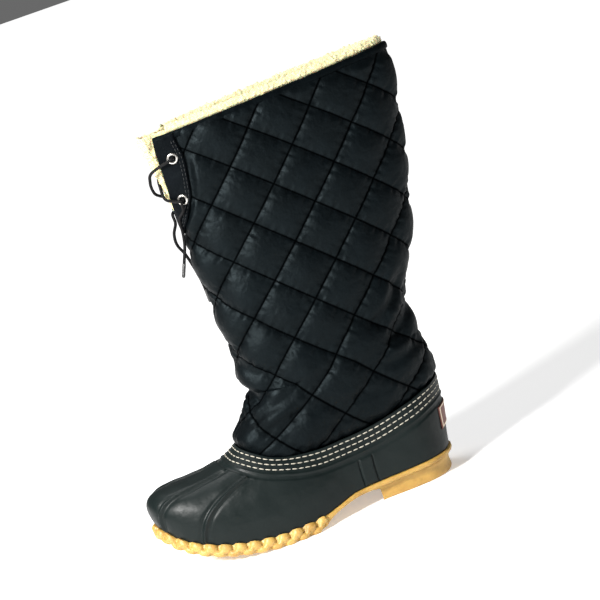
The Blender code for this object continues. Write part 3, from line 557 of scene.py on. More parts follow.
def add_stitches(bm, route, pitch, stitch, thread, normals):
    """Short rounded stitches along a route, one for each pitch."""
    arc = run_along(route)
    count = max(1, int(arc[-1] / pitch))
    pitch = arc[-1] / count
    for i in range(count):
        middle = pitch * (i + 0.5)
        start, end = (read_at(middle + reach, arc, route) for reach in (-stitch / 2, stitch / 2))
        way = Vector(end - start).normalized()
        out = Vector(read_at(middle, arc, normals)).normalized()
        side = out.cross(way).normalized()
        out = way.cross(side)
        spin = Matrix((way, side, out)).transposed().to_4x4()
        centre = Vector(row_frame((start + end) / 2)) + out * thread * STITCH_STAND
        size = Matrix.Diagonal((stitch / 2, thread / 2, thread * STITCH_FLAT, 1.0))
        bmesh.ops.create_uvsphere(
            bm, u_segments=6, v_segments=5, radius=1.0,
            matrix=Matrix.Translation(centre) @ spin @ size @ Matrix.Rotation(pi / 2, 4, "Y"),
        )


RUBBER = (0.0046, 0.0080, 0.0078, 1)
RUBBER_DUST = (0.05, 0.06, 0.06, 1)
RUBBER_PATCH = (0.0075, 0.0125, 0.0122, 1)
GUM = (0.53, 0.33, 0.082, 1)
GUM_DEEP = (0.37, 0.21, 0.042, 1)
GUM_DIRT = (0.20, 0.10, 0.02, 1)
NYLON = (0.0008, 0.0014, 0.0018, 1)
FACING_CLOTH = (0.0014, 0.0018, 0.0024, 1)
CLOTH_TINT = (0.72, 0.92, 1.0, 1)
LINT = (0.03, 0.03, 0.028, 1)
# Painted shade: the colour of the quilting's stitched valleys.
VALLEY_SHADE = (0.0003, 0.0004, 0.0005, 1)
FLEECE = (0.71, 0.67, 0.41, 1)
# Painted shade between the fleece's curls.
FLEECE_HOLLOW_SHADE = (0.53, 0.48, 0.26, 1)
LACE = (0.003, 0.003, 0.0035, 1)
PATCH = (0.13, 0.035, 0.025, 1)
PATCH_BORDER = (0.74, 0.62, 0.46, 1)
PALE_THREAD = (0.42, 0.39, 0.32, 1)
DARK_THREAD = (0.006, 0.007, 0.008, 1)
NICKEL = (0.62, 0.60, 0.56, 1)
AGLET = (0.02, 0.02, 0.02, 1)
FLOOR = (0.92, 0.92, 0.92, 1)
WHITE = (1.0, 1.0, 1.0, 1)
CLOTH_SPECULAR = 0.10
BRAID_PITCH = 0.0028
BRAID_STRANDS = 6


class Nodes:
    """Adds nodes to one tree: inputs are constants or other nodes' sockets."""

    def __init__(self, tree):
        self.tree = tree

    def put(self, socket, value):
        if isinstance(value, bpy.types.NodeSocket):
            self.tree.links.new(value, socket)
        else:
            socket.default_value = value

    def add(self, kind, inputs=None, **settings):
        node = self.tree.nodes.new(kind)
        for name, value in settings.items():
            setattr(node, name, value)
        for name, value in (inputs or {}).items():
            self.put(node.inputs[name], value)
        return node

    def math(self, operation, first, second=0.0):
        return self.add("ShaderNodeMath", {0: first, 1: second}, operation=operation).outputs[0]

    def times(self, first, second):
        return self.math("MULTIPLY", first, second)

    def ripple(self, value):
        """The sine's size, without its sign."""
        return self.math("ABSOLUTE", self.math("SINE", value))

    def mix(self, factor, first, second):
        """The first colour where factor is 0, the second where it is 1."""
        return self.add("ShaderNodeMix", {0: factor, 6: first, 7: second}, data_type="RGBA").outputs[2]

    def range(self, value, from_min, from_max, to_min=0.0, to_max=1.0):
        limits = {"From Min": from_min, "From Max": from_max, "To Min": to_min, "To Max": to_max}
        return self.add("ShaderNodeMapRange", {"Value": value, **limits}).outputs[0]

    def coordinates(self, kind="Object"):
        return self.add("ShaderNodeTexCoord").outputs[kind]

    def uv(self):
        """The two UV coordinates."""
        parts = self.add("ShaderNodeSeparateXYZ", {"Vector": self.coordinates("UV")})
        return parts.outputs["X"], parts.outputs["Y"]

    def noise(self, scale, detail=3.0, roughness=0.5, where=None):
        where = self.coordinates() if where is None else where
        inputs = {"Vector": where, "Scale": scale, "Detail": detail, "Roughness": roughness}
        return self.add("ShaderNodeTexNoise", inputs).outputs[0]

    def group(self, name, maker, inputs=None):
        """A node of the shared group, which its maker builds the first time."""
        tree = bpy.data.node_groups.get(name) or maker(name)
        return self.add("ShaderNodeGroup", inputs, node_tree=tree).outputs


class Finish(Nodes):
    """A material: its uniform values sit on the shader's own sockets."""

    def __init__(self, name, colour, roughness, **numbers):
        self.material = bpy.data.materials.new(name)
        self.material.use_nodes = True
        super().__init__(self.material.node_tree)
        self.shader = self.tree.nodes["Principled BSDF"]
        self.feed(Base_Color=colour, Roughness=roughness, **numbers)

    def feed(self, **values):
        """Sets or links the shader's inputs, each named with _ for a space."""
        for title, value in values.items():
            self.put(self.shader.inputs[title.replace("_", " ")], value)

    def bump(self, height, distance, strength=1.0, under=None):
        """Bends the normals by a height, over the bump under it."""
        inputs = {"Height": height, "Distance": distance, "Strength": strength}
        if under is not None:
            inputs["Normal"] = under
        normal = self.add("ShaderNodeBump", inputs).outputs[0]
        self.feed(Normal=normal)
        return normal


def new_group(name, inputs, outputs):
    """A node group of float inputs (name, default, least, most, meaning) and outputs (name, meaning)."""
    tree = bpy.data.node_groups.new(name, "ShaderNodeTree")
    for title, default, least, most, words in inputs:
        socket = tree.interface.new_socket(name=title, in_out="INPUT", socket_type="NodeSocketFloat")
        socket.default_value = default
        socket.min_value = least
        socket.max_value = most
        socket.description = words
    for title, words in outputs:
        socket = tree.interface.new_socket(name=title, in_out="OUTPUT", socket_type="NodeSocketFloat")
        socket.description = words
    nodes = Nodes(tree)
    return nodes, nodes.add("NodeGroupInput").outputs, nodes.add("NodeGroupOutput").inputs


def surface_wear(name):
    """Dust and rubbing on any surface: a mask of pale dust, and a second one of duller patches."""
    nodes, start, end = new_group(
        name,
        [
            ("Dust Size", 60.0, 1.0, 400.0, "Patches of dust per metre"),
            ("Patch Size", 28.0, 1.0, 200.0, "Duller patches per metre"),
            ("Amount", 0.3, 0.0, 1.0, "How much of the surface has dust"),
        ],
        [("Dust", "1 where dust lies"), ("Patches", "1 where the finish is dull")],
    )
    where = nodes.coordinates()
    edge = nodes.math("SUBTRACT", 0.78, nodes.times(start["Amount"], 0.35))
    fine = nodes.noise(start["Dust Size"], 8.0, 0.7, where)
    nodes.put(end["Dust"], nodes.range(fine, edge, nodes.math("ADD", edge, 0.12)))
    nodes.put(end["Patches"], nodes.range(nodes.noise(start["Patch Size"], 4.0, 0.6, where), 0.42, 0.66))
    return nodes.tree


def plain_weave(name):
    """Plain-woven cloth from UVs in metres: the height of the crossing threads."""
    nodes, start, end = new_group(
        name,
        [("Threads", 1500.0, 100.0, 6000.0, "Threads per metre")],
        [("Height", "Height of the threads, 0 to 1")],
    )
    turn = nodes.times(start["Threads"], pi)
    across, along = (nodes.ripple(nodes.times(part, turn)) for part in nodes.uv())
    nodes.put(end["Height"], nodes.times(nodes.math("ADD", across, along), 0.5))
    return nodes.tree


def fleece_curls(name):
    """The curls of a fleece: a height made of small round tufts on larger ones, and a crown mask for the
    painted shade between the curls.
    """
    nodes, start, end = new_group(
        name,
        [("Curl Size", 420.0, 20.0, 4000.0, "Curls per metre")],
        [("Height", "Height of the curls, 0 to 1"), ("Shade", "1 on the crowns and 0 between the curls")],
    )
    where = nodes.coordinates()
    bend = nodes.add("ShaderNodeTexNoise", {"Vector": where, "Scale": 300.0, "Detail": 3.0}).outputs[1]
    moved = nodes.add("ShaderNodeVectorMath", {0: bend, "Scale": 0.003}, operation="SCALE").outputs[0]
    place = nodes.add("ShaderNodeVectorMath", {0: where, 1: moved}, operation="ADD").outputs[0]
    size = start["Curl Size"]
    cells = nodes.add("ShaderNodeTexVoronoi", {"Vector": place, "Scale": size}, feature="F1")
    crown = nodes.range(cells.outputs["Distance"], 0.0, 0.7, 1.0, 0.0)
    fine = nodes.noise(nodes.times(size, 4.0), 4.0, where=place)
    nodes.put(end["Height"], nodes.math("ADD", nodes.times(crown, 0.7), nodes.times(fine, 0.3)))
    nodes.put(end["Shade"], crown)
    return nodes.tree


def black_rubber():
    finish = Finish("Black Rubber", RUBBER, 0.4, Specular_IOR_Level=0.17)
    wear = finish.group("Surface Wear", surface_wear, {"Amount": 0.25})
    tone = finish.mix(finish.times(wear["Dust"], 0.10), RUBBER, RUBBER_DUST)
    tone = finish.mix(finish.times(wear["Patches"], 0.35), tone, RUBBER_PATCH)
    dull = finish.range(wear["Patches"], 0.0, 1.0, 0.38, 0.48)
    finish.feed(Base_Color=tone, Roughness=finish.math("ADD", dull, finish.times(wear["Dust"], 0.10)))
    soft = finish.bump(finish.noise(90.0, 2.0), 0.0012, 0.5)
    finish.bump(finish.noise(1900.0, 2.0), 0.00006, 0.6, soft)
    return finish.material


def gum_rubber():
    finish = Finish("Gum Rubber", GUM, 0.5, Subsurface_Weight=0.12, Subsurface_Scale=0.004)
    wear = finish.group("Surface Wear", surface_wear, {"Amount": 0.35, "Patch Size": 40.0})
    tone = finish.mix(finish.range(finish.noise(55.0, 4.0), 0.35, 0.7), GUM, GUM_DEEP)
    dirt = finish.times(finish.range(finish.noise(260.0, 6.0, 0.7), 0.5, 0.75), 0.35)
    dull = finish.range(wear["Patches"], 0.0, 1.0, 0.42, 0.6)
    finish.feed(Base_Color=finish.mix(dirt, tone, GUM_DIRT), Roughness=dull)
    finish.bump(finish.noise(700.0, 4.0, 0.6), 0.00025, 0.6)
    return finish.material


def quilt_lines(nodes):
    """1 on the quilting's stitched lines, 0 off them. The UVs hold the distance round and the height."""
    x, y = nodes.uv()
    place = nodes.math("MINIMUM", x, nodes.math("SUBTRACT", MEDIAL_UV, x))
    across = nodes.math("DIVIDE", nodes.math("SUBTRACT", place, QUILT_FRONT), DIAMOND_WIDTH)
    up = nodes.math("DIVIDE", nodes.math("SUBTRACT", y, QUILT_HEIGHT), DIAMOND_HEIGHT)
    lines = [nodes.ripple(nodes.times(nodes.math(way, across, up), pi)) for way in ("ADD", "SUBTRACT")]
    return nodes.range(nodes.math("MINIMUM", *lines), 0.02, 0.11, 1.0, 0.0)


def nylon_cloth(name="Nylon", colour=NYLON, quilted=False):
    shine = CLOTH_SPECULAR * (1.0 if quilted else 0.4)
    finish = Finish(name, colour, 0.5, Specular_IOR_Level=shine, Specular_Tint=CLOTH_TINT)
    lighter = (*(part * 1.7 for part in colour[:3]), 1)
    tint = finish.mix(finish.range(finish.noise(45.0, 5.0, 0.6), 0.4, 0.7), colour, lighter)
    lint = finish.times(finish.range(finish.noise(900.0, 3.0, 0.7), 0.71, 0.76), 0.25)
    tint = finish.mix(lint, tint, LINT)
    if quilted:
        # Painted shade: the quilting's stitched valleys are painted darker and lose their shine.
        lines = quilt_lines(finish)
        tint = finish.mix(lines, tint, VALLEY_SHADE)
        finish.feed(Specular_IOR_Level=finish.times(finish.math("SUBTRACT", 1.0, lines), CLOTH_SPECULAR))
    finish.feed(Base_Color=tint, Roughness=finish.range(finish.noise(120.0, 4.0), 0.3, 0.7, 0.42, 0.56))
    rumple = finish.bump(finish.noise(75.0, 2.0, 0.45), 0.0016, 0.8)
    rumple = finish.bump(finish.noise(240.0), 0.0007, 0.8, rumple)
    finish.bump(finish.group("Plain Weave", plain_weave)["Height"], 0.00012, 0.4, rumple)
    return finish.material


def fleece():
    finish = Finish(
        "Fleece", FLEECE, 0.9,
        Sheen_Weight=0.2, Sheen_Roughness=0.5, Subsurface_Weight=0.25, Subsurface_Scale=0.003,
    )
    curls = finish.group("Fleece Curls", fleece_curls)
    # Painted shade: the fleece is painted darker between the curls and paler on their crowns.
    finish.feed(Base_Color=finish.mix(curls["Shade"], FLEECE_HOLLOW_SHADE, FLEECE))
    finish.bump(curls["Height"], 0.0010, 0.5)
    return finish.material


def plain_finish(name, colour, roughness, grain=1200.0, depth=0.0001, **numbers):
    finish = Finish(name, colour, roughness, **numbers)
    finish.bump(finish.noise(grain), depth, 0.6)
    limits = (roughness * 0.85, min(1.0, roughness * 1.2))
    finish.feed(Roughness=finish.range(finish.noise(160.0, 4.0), 0.3, 0.7, *limits))
    return finish.material


def braided_cord():
    finish = Finish("Lace", LACE, 0.6, Specular_IOR_Level=0.15)
    x, y = finish.uv()
    turn = finish.times(x, BRAID_STRANDS * pi)
    along = finish.times(y, 2 * pi / BRAID_PITCH)
    strands = [finish.ripple(finish.math(way, turn, along)) for way in ("ADD", "SUBTRACT")]
    finish.bump(finish.math("MAXIMUM", *strands), 0.0003, 0.8)
    return finish.material


def label_finish():
    """The bare heel patch: dark red-brown with a cream border line, from UVs that run 0 to 1."""
    finish = Finish("Heel Label", PATCH, 0.5)
    near = []
    for place, size in zip(finish.uv(), (LABEL_WIDTH, LABEL_HEIGHT)):
        nearest = finish.math("MINIMUM", place, finish.math("SUBTRACT", 1.0, place))
        near.append(finish.times(nearest, size))
    edge = finish.math("MINIMUM", *near)
    line = finish.times(finish.range(edge, 0.0008, 0.0011), finish.range(edge, 0.0023, 0.0020))
    finish.feed(Base_Color=finish.mix(line, PATCH, PATCH_BORDER))
    finish.bump(finish.math("ADD", finish.times(line, 2.0), finish.noise(900.0)), 0.0002, 0.5)
    return finish.material


RIB_HEIGHT = 0.0009
STEP_HEIGHT = 0.0007
RIDGE_HEIGHT = 0.0020
RIDGE_SPREAD = 0.0014
BAND_WIDTH = 0.013
BAND_HEIGHT = 0.0008
BAND_GROOVE = 0.0012
PUFF = 0.0056
MEDIAL_UV = 0.6
PUCKER = 0.00055
STITCH_DROPS = (0.0030, 0.0080, 0.0130)
STITCH_PITCH = 0.0058
STITCH_LENGTH = 0.0047
THREAD = 0.0011
TREAD_DEPTH = 0.0016
INSOLE_THICKNESS = 0.0045
CURL_SIZE = 0.0034
CURL_DEPTH = 0.0022
AGLET_LENGTH = 0.011
TREAD_ROW = 0.0075
TREAD_LINK = 0.0095
RIB_SPREAD = 0.0011
STEP_RUN = 0.0014
RIDGE_GROOVE = 0.0006
RIDGE_GROOVE_AWAY = 0.0036
RIDGE_GROOVE_SPREAD = 0.0018
RIDGED_PLACES = (0.8, 4.5, 0.03)
BAND_PLACES = (-0.36, 0.36, 0.02)
BAND_EDGE = 0.0006
BAND_GROOVE_SPREAD = 0.0009
MARGIN_STEP = 0.00075
SHELL_LEVELS = 46
SHELL_RUN = 0.05
SHELL_WAVE = 0.0005
PILLOW_POWER = 0.45
PUCKER_PITCHES = (0.0085, 0.0052)
FACING_SEAMS = (0.0018, 0.0042)
FACING_PITCH = 0.0036
FACING_STITCH = 0.0028
FACING_THREAD = 0.0007
LABEL_RAISE = 0.0003
LABEL_COLUMNS = 61
LABEL_ROWS = 25
GUSSET_WALL = 0.002
INSOLE_ROUNDING = 0.0014
CORD_STEP = 0.0012
CORD_SIDES = 10
CORD_RADIUS = LACE_DIAMETER / 2 * 0.92
AGLET_SIDES = 12
# How far each ring of a cord's rounded end stands off it, and its size, as shares of the radius.
CORD_CAPS = ((0.98, 0.05), (0.75, 0.6), (0.4, 0.9))
CORD_UP = (0.31, 0.92, 0.23)
STITCH_STAND = 0.15
STITCH_FLAT = 0.42

# Points inside the shaft, the shoe, the heel block and the gusset, which their sheets face away from.
SHAFT_MIDDLE = (0.19, 0.0, 0.22)
SHOE_MIDDLE = (0.15, 0.0, 0.035)
HEEL_MIDDLE = (0.245, 0.0, 0.01)
GUSSET_MIDDLE = (0.16, 0.0, 0.33)

# Profiles as distances out from a surface or an axis, and up.
BINDING_PROFILE = (
    (0.0002, -0.0052), (0.0011, -0.0048), (0.0014, -0.0030), (0.0013, -0.0008), (0.0006, 0.0006),
    (-0.0010, 0.0010), (-0.0026, 0.0006), (-0.0032, -0.0010), (-0.0034, -0.0040),
)
EYELET_PROFILE = (
    (0.0026, -0.0012), (0.0027, 0.0002), (0.0030, 0.0008), (0.0036, 0.0011),
    (0.0043, 0.0010), (0.0049, 0.0005), (0.0051, -0.0002), (0.0050, -0.0008),
)

# The heel block's side: its rings as shares of its height, and its inset at some of those shares.
HEEL_RINGS = (1.0, 0.90, 0.86, 0.80, 0.74, 0.70, 0.67, 0.55, 0.40, 0.25, 0.12, 0.05, 0.015, 0.0)
HEEL_SIDE = (
    (0, 0.0052), (0.02, 0.0040), (0.12, 0.0031), (0.5, 0.0037),
    (0.78, 0.0026), (0.86, 0.0028), (0.92, 0.0046), (1.0, 0.0046),
)

# The chain edge's rows of knobs: each row's shift in links, its level down the band, and its reach each way.
Knob = namedtuple("Knob", "shift level tall reach")
KNOBS = (Knob(0.0, 0.26, 0.44, 0.40), Knob(0.5, 0.78, 0.42, 0.40), Knob(0.25, 0.52, 0.26, 0.26))

CAMERA_TARGET = (0.004, 0.0, 0.186)
CAMERA_SHIFT = (0.031, 0.0185)
LIGHT_TARGET = (0.0, 0.0, 0.17)
Lamp = namedtuple("Lamp", "name place size power tint")
LAMPS = (
    Lamp("Key", (-1.45, -1.05, 1.25), 0.5, 98.0, (1.0, 0.99, 0.97)),
    Lamp("Fill", (0.3, -1.9, 0.9), 1.0, 3.0, (0.95, 0.98, 1.0)),
    Lamp("Top", (-0.3, 0.5, 1.9), 0.8, 16.0, (1.0, 1.0, 1.0)),
)
WORLD_STRENGTH = 0.14
FLOOR_SIZE = 30.0


class BootDetail(bpy.types.PropertyGroup):
    shell_columns: bpy.props.IntProperty(
        name="Shell columns", description="Points round the rubber shell", default=360, min=60, max=960
    )
    shaft_columns: bpy.props.IntProperty(
        name="Shaft columns", description="Points round each side of the shaft", default=150, min=30, max=240
    )
    shaft_step: bpy.props.FloatProperty(
        name="Shaft step", description="Height of one row of the shaft",
        default=0.0014, min=0.0008, max=0.01, unit="LENGTH", subtype="DISTANCE", precision=4,
    )
    sole_columns: bpy.props.IntProperty(
        name="Sole columns", description="Points round the sole's edge", default=1100, min=120, max=2000
    )
    crease_share: bpy.props.FloatProperty(
        name="Creases", description="Share of the creases' full depth", default=1.0, min=0.0, max=1.5,
        subtype="FACTOR",
    )


class BootStage(bpy.types.PropertyGroup):
    azimuth: bpy.props.FloatProperty(
        name="Azimuth", description="Turn of the camera round the boot, from square to its lateral side",
        default=radians(-7.6), unit="ROTATION", subtype="ANGLE",
    )
    elevation: bpy.props.FloatProperty(
        name="Elevation", description="Height of the camera over the floor, as an angle",
        default=radians(11.0), unit="ROTATION", subtype="ANGLE",
    )
    roll: bpy.props.FloatProperty(
        name="Roll", description="Turn of the picture, heel up",
        default=radians(19.2), unit="ROTATION", subtype="ANGLE",
    )
    distance: bpy.props.FloatProperty(
        name="Distance", description="From the camera to the middle of the boot",
        default=1.8, min=0.5, max=5.0, unit="LENGTH", subtype="DISTANCE",
    )
    lens: bpy.props.FloatProperty(
        name="Lens", description="Focal length in millimetres", default=123.0, min=20.0, max=400.0
    )


def frame_camera(stage):
    back = Vector((
        sin(stage.azimuth) * cos(stage.elevation),
        -cos(stage.azimuth) * cos(stage.elevation),
        sin(stage.elevation),
    ))
    data = bpy.data.cameras.new("Camera")
    data.lens = stage.lens
    data.shift_x, data.shift_y = CAMERA_SHIFT
    turn = back.to_track_quat("Z", "Y").to_matrix() @ Matrix.Rotation(-stage.roll, 3, "Z")
    place = Vector(CAMERA_TARGET) + back * stage.distance
    bpy.context.scene.camera = stage_object("Camera", data, place, turn.to_quaternion())


def stage_object(name, data, place=(0, 0, 0), turn=(1, 0, 0, 0)):
    obj = bpy.data.objects.new(name, data)
    bpy.context.scene.collection.objects.link(obj)
    obj.rotation_mode = "QUATERNION"
    obj.location = place
    obj.rotation_quaternion = turn
    return obj


def area_light(lamp):
    data = bpy.data.lights.new(lamp.name, "AREA")
    data.shape = "DISK"
    data.size = lamp.size
    data.energy = lamp.power
    data.color = lamp.tint
    away = Vector(lamp.place) - Vector(LIGHT_TARGET)
    stage_object(lamp.name, data, lamp.place, away.to_track_quat("Z", "Y"))


def set_stage():
    finish = Finish("Floor", FLOOR, 0.95, Specular_IOR_Level=0.1, Emission_Color=WHITE)
    away = finish.add("ShaderNodeVectorMath", {0: finish.coordinates()}, operation="LENGTH")
    finish.feed(Emission_Strength=finish.range(away.outputs["Value"], 0.5, 2.5, 0.36, 0.90))
    bm = bmesh.new()
    bmesh.ops.create_grid(bm, x_segments=1, y_segments=1, size=FLOOR_SIZE)
    mesh = bpy.data.meshes.new("floor")
    bm.to_mesh(mesh)
    bm.free()
    mesh.materials.append(finish.material)
    stage_object("floor", mesh)
    for lamp in LAMPS:
        area_light(lamp)
    world = bpy.data.worlds.new("World")
    world.use_nodes = True
    sky = world.node_tree.nodes["Background"].inputs
    sky["Color"].default_value = WHITE
    sky["Strength"].default_value = WORLD_STRENGTH
    bpy.context.scene.world = world
    bpy.context.scene.view_settings.view_transform = "Standard"


def outline_arc(a):
    """Distance along the sole's edge from the toe tip, and its full length."""
    fine = np.linspace(0, TURN, 2401)
    points = outline(fine)
    arc = run_along(points)
    return np.interp(np.mod(a, TURN), fine, arc), arc[-1]


def lug_field(a, down):
    """Knobs of the chain edge: down is 0 at the band's top and 1 at its foot. Returns (rows, places)."""
    arc, total = outline_arc(a)
    from_toe = np.minimum(arc, total - arc)
    ends = np.where(np.mod(a, TURN) < LAST, LUG_END_LATERAL, LUG_END_MEDIAL)
    there = np.clip((ends - section_row(a)) / 0.2, 0, 1)
    phase = from_toe[None, :] / LUG_PITCH + 0.22 * (down[:, None] - 0.5)
    field = np.zeros(phase.shape)
    for knob in KNOBS:
        near = (phase + knob.shift + 0.5) % 1.0 - 0.5
        round_knob = 1 - (near / knob.reach) ** 2 - ((down[:, None] - knob.level) / knob.tall) ** 2
        field = np.maximum(field, np.clip(round_knob, 0, 1) ** 0.5)
    scallop = np.abs(np.cos(pi * from_toe / LUG_PITCH)) ** 0.7
    return field * there, scallop * there, there


def edge_ring(a, out, z):
    return np.column_stack([outline(a) + outline_normal(a) * np.broadcast_to(out, len(a))[:, None], z])


def chain_tread(x, y):
    """The tread's chains, 1 on the links and 0 between them."""
    row = y / TREAD_ROW
    link = x / TREAD_LINK + 0.5 * (np.floor(row) % 2)
    near_row = (row % 1.0) - 0.5
    near_link = (link % 1.0) - 0.5
    oval = np.hypot(near_row / 0.42, near_link / 0.44)
    return smoothstep(1.0, 0.75, oval) * (0.45 + 0.55 * smoothstep(0.25, 0.5, oval))


def make_outsole(detail):
    bm = bmesh.new()
    a = np.linspace(0, TURN, detail.sole_columns + 1)
    bottom, rim = sole_bottom(a), sole_rim(a)
    band = rim - bottom
    down = np.linspace(0, 1, 15)
    knobs, scallop, there = lug_field(a, down)
    rows = [edge_ring(a, -SHELL_WALL, rim), edge_ring(a, -GAP * 2, rim + LUG_SCALLOP * scallop * 1.1)]
    for share, knob in zip(down, knobs):
        smooth = RIM_OVERHANG * (1 - abs(2 * share - 1) ** 3.0)
        plain = RIM_OVERHANG * (0.15 + 0.85 * np.clip(1 - abs(2 * share - 1) ** 4, 0, 1))
        out = plain * (1 - there) + there * (smooth * 0.9 + (LUG_DEPTH + 0.0010) * knob)
        z = rim - band * share + there * 1.5 * LUG_SCALLOP * scallop * (1 - share) ** 2
        rows.append(edge_ring(a, out, z))
    for inset in (0.002, 0.004):
        rows.append(edge_ring(a, -inset, bottom + TREAD_DEPTH * 0.2))
    rows = np.array(rows)
    grain = 0.4 * speckle(rows[2:-2], 0.004, 0.0005)[:, :, None]
    rows[2:-2] += grain * sheet_normals(rows, SHOE_MIDDLE)[2:-2]
    sheet(bm, rows, SHOE_MIDDLE)
    add_tread(bm)
    add_heel(bm)
    weld(bm)
    add_piece("outsole", bm, gum_rubber(), ["outsole"], sharp=0.8)


def add_tread(bm):
    """The sole's underside, with chains that stop short of its edge."""
    along = np.linspace(0.03, LAST - 0.03, 260)
    lateral = outline(along) - outline_normal(along) * 0.003
    medial = outline(TURN - along) - outline_normal(TURN - along) * 0.003
    across = np.linspace(0, 1, 90)[None, :, None]
    plan = lateral[:, None, :] * (1 - across) + medial[:, None, :] * across
    edge = np.minimum(across[0, :, 0], 1 - across[0, :, 0])
    tread = chain_tread(plan[:, :, 0], plan[:, :, 1]) * smoothstep(0.0, 0.03, edge)[None, :]
    z = sole_bottom(along)[:, None] + TREAD_DEPTH * (1 - tread)
    sheet(bm, np.dstack([plan, z]), (0.15, 0.0, 0.3))


def add_heel(bm):
    """The heel block with its shelf and hollow breast, and the chains under it."""
    breast = np.linspace(0, 1, 50)[1:]
    shares = np.array(HEEL_RINGS)
    shelves = HEEL_SHELF * smoothstep(0.66, 0.72, shares)
    insets = monotone(*zip(*HEEL_SIDE), shares)
    rings = []
    top = ARCH_HEIGHT + SOLE_THICKNESS * 0.1
    for share, inset, shelf in zip(shares, insets, shelves):
        start = np.interp((HEEL_BREAST - shelf) / FOOT_LENGTH, column("x"), range(LAST + 1))
        loop = start + (TURN - 2 * start) * np.linspace(0, 1, 181)
        edge = outline(loop) - outline_normal(loop) * inset
        first, last = edge[-1], edge[0]
        front = first + (last - first) * breast[:, None]
        front[:, 0] += HEEL_BREAST_HOLLOW * np.sin(pi * breast) + 0.0015 * share
        ring = np.concatenate([edge, front])
        rings.append(np.column_stack([ring, np.full(len(ring), top * share)]))
    sheet(bm, np.array(rings), HEEL_MIDDLE)
    centre = np.array([0.243, 0.0])
    foot = rings[-1][:, :2]
    caps = []
    for share in (1.0, 0.985, 0.95, *np.linspace(0.9, 0.02, 40)):
        plan = centre + (foot - centre) * share
        tread = chain_tread(plan[:, 0], plan[:, 1]) * (share < 0.93)
        depth = 0.0 if share > 0.93 else TREAD_DEPTH * (1 - tread)
        caps.append(np.column_stack([plan, np.broadcast_to(depth, len(plan))]))
    sheet(bm, np.array(caps), (0.245, 0.0, 0.3))


def bead(distance, spread):
    return np.exp(-((distance / spread) ** 2))


def make_rubber_shell(detail):
    a = np.linspace(0, TURN, detail.shell_columns + 1)
    near = np.arange(*BAND_PLACES)
    a = np.unique(np.concatenate([a, np.arange(*RIDGED_PLACES), BAND_ROW + near, TURN - BAND_ROW - near]))
    margin = np.arange(0, MARGIN, MARGIN_STEP)
    share = np.linspace(0, 1, SHELL_LEVELS)
    fixed = np.concatenate([margin, np.full(len(share), MARGIN)])
    share = np.concatenate([np.zeros(len(margin)), share])
    points, normals = shell_grid(a, fixed, share)
    lift = np.zeros(points.shape[:2])
    depth = fixed[:, None] + share[:, None] * SHELL_RUN
    lift += RIB_HEIGHT * bead(depth - RIB_DROP, RIB_SPREAD)
    step = STEP_HEIGHT * smoothstep(STEP_DROP - 0.0006, STEP_DROP - 0.0006 + STEP_RUN, depth)
    lift += step * (1 - 0.7 * share[:, None] ** 6)
    arc = spans(points, 1)
    below = smoothstep(STEP_DROP, STEP_DROP + 0.002, depth) * smoothstep(1.0, 0.93, share)[:, None]
    for ridge in RIDGE_ROWS:
        row = np.mod(ridge.top + (ridge.foot - ridge.top) * share**0.7, TURN)
        middle = np.array([[np.interp(where, a, level)] for where, level in zip(row, arc)])
        away = np.abs(arc - middle)
        away = np.minimum(away, arc[:, -1][:, None] - away)
        groove = RIDGE_GROOVE * bead(away - RIDGE_GROOVE_AWAY, RIDGE_GROOVE_SPREAD)
        lift += below * (RIDGE_HEIGHT * bead(away, RIDGE_SPREAD) - groove)
    for row in (BAND_ROW, TURN - BAND_ROW):
        middle = np.array([[np.interp(row, a, level)] for level in arc])
        away = np.abs(arc - middle)
        line = BAND_HEIGHT * smoothstep(BAND_WIDTH / 2 + BAND_EDGE, BAND_WIDTH / 2 - BAND_EDGE, away)
        lift += below * (line - BAND_GROOVE * bead(away - BAND_WIDTH / 2, BAND_GROOVE_SPREAD))
    wave = speckle(points, 0.022, SHELL_WAVE, 2)
    lift += wave * smoothstep(0.0, 0.01, depth) * smoothstep(1.0, 0.9, share)[:, None]
    rows = points + normals * lift[:, :, None]
    rows[:, -1] = rows[:, 0]
    bm = bmesh.new()
    sheet(bm, rows, SHOE_MIDDLE)
    weld(bm)
    shell = add_piece("rubber_shell", bm, black_rubber(), ["rubber_shell"], sharp=1.2)
    thicken(shell, SHELL_WALL * 0.9)


def make_topline_stitches():
    a = np.linspace(0, TURN, 721)
    points, normals = shell_grid(a, np.array(STITCH_DROPS), np.zeros(len(STITCH_DROPS)))
    bm = bmesh.new()
    for row, out in zip(points, normals):
        add_stitches(bm, row, STITCH_PITCH, STITCH_LENGTH, THREAD, out)
    add_piece("topline_stitches", bm, plain_finish("Pale Thread", PALE_THREAD, 0.75), sharp=3.0)


def make_heel_label():
    near, _ = shell_grid(np.array([LAST - 0.05, LAST + 0.05]), np.array([LABEL_DROP]), np.zeros(1))
    reach = LABEL_WIDTH / 2 / (np.linalg.norm(near[0, 1] - near[0, 0]) / 0.1)
    a = LAST + np.linspace(-reach, reach, LABEL_COLUMNS)
    fixed = np.linspace(LABEL_DROP, LABEL_DROP + LABEL_HEIGHT, LABEL_ROWS)
    points, normals = shell_grid(a, fixed, np.zeros(len(fixed)))
    across, down = np.meshgrid(np.linspace(0, 1, LABEL_COLUMNS), np.linspace(0, 1, LABEL_ROWS))
    edge = np.minimum(across, 1 - across) * LABEL_WIDTH
    edge = np.minimum(edge, np.minimum(down, 1 - down) * LABEL_HEIGHT)
    lift = STEP_HEIGHT + LABEL_THICKNESS * (0.75 + 0.25 * smoothstep(0, 0.0008, edge))
    lift += LABEL_RAISE * bead(edge - 0.0015, 0.0006)
    rows = points + normals * lift[:, :, None]
    uv = np.stack([across, down], axis=2)
    sheet_piece(
        "heel_label", rows, SHOE_MIDDLE, label_finish(), ["heel_label"], uv, wall=LABEL_THICKNESS
    )


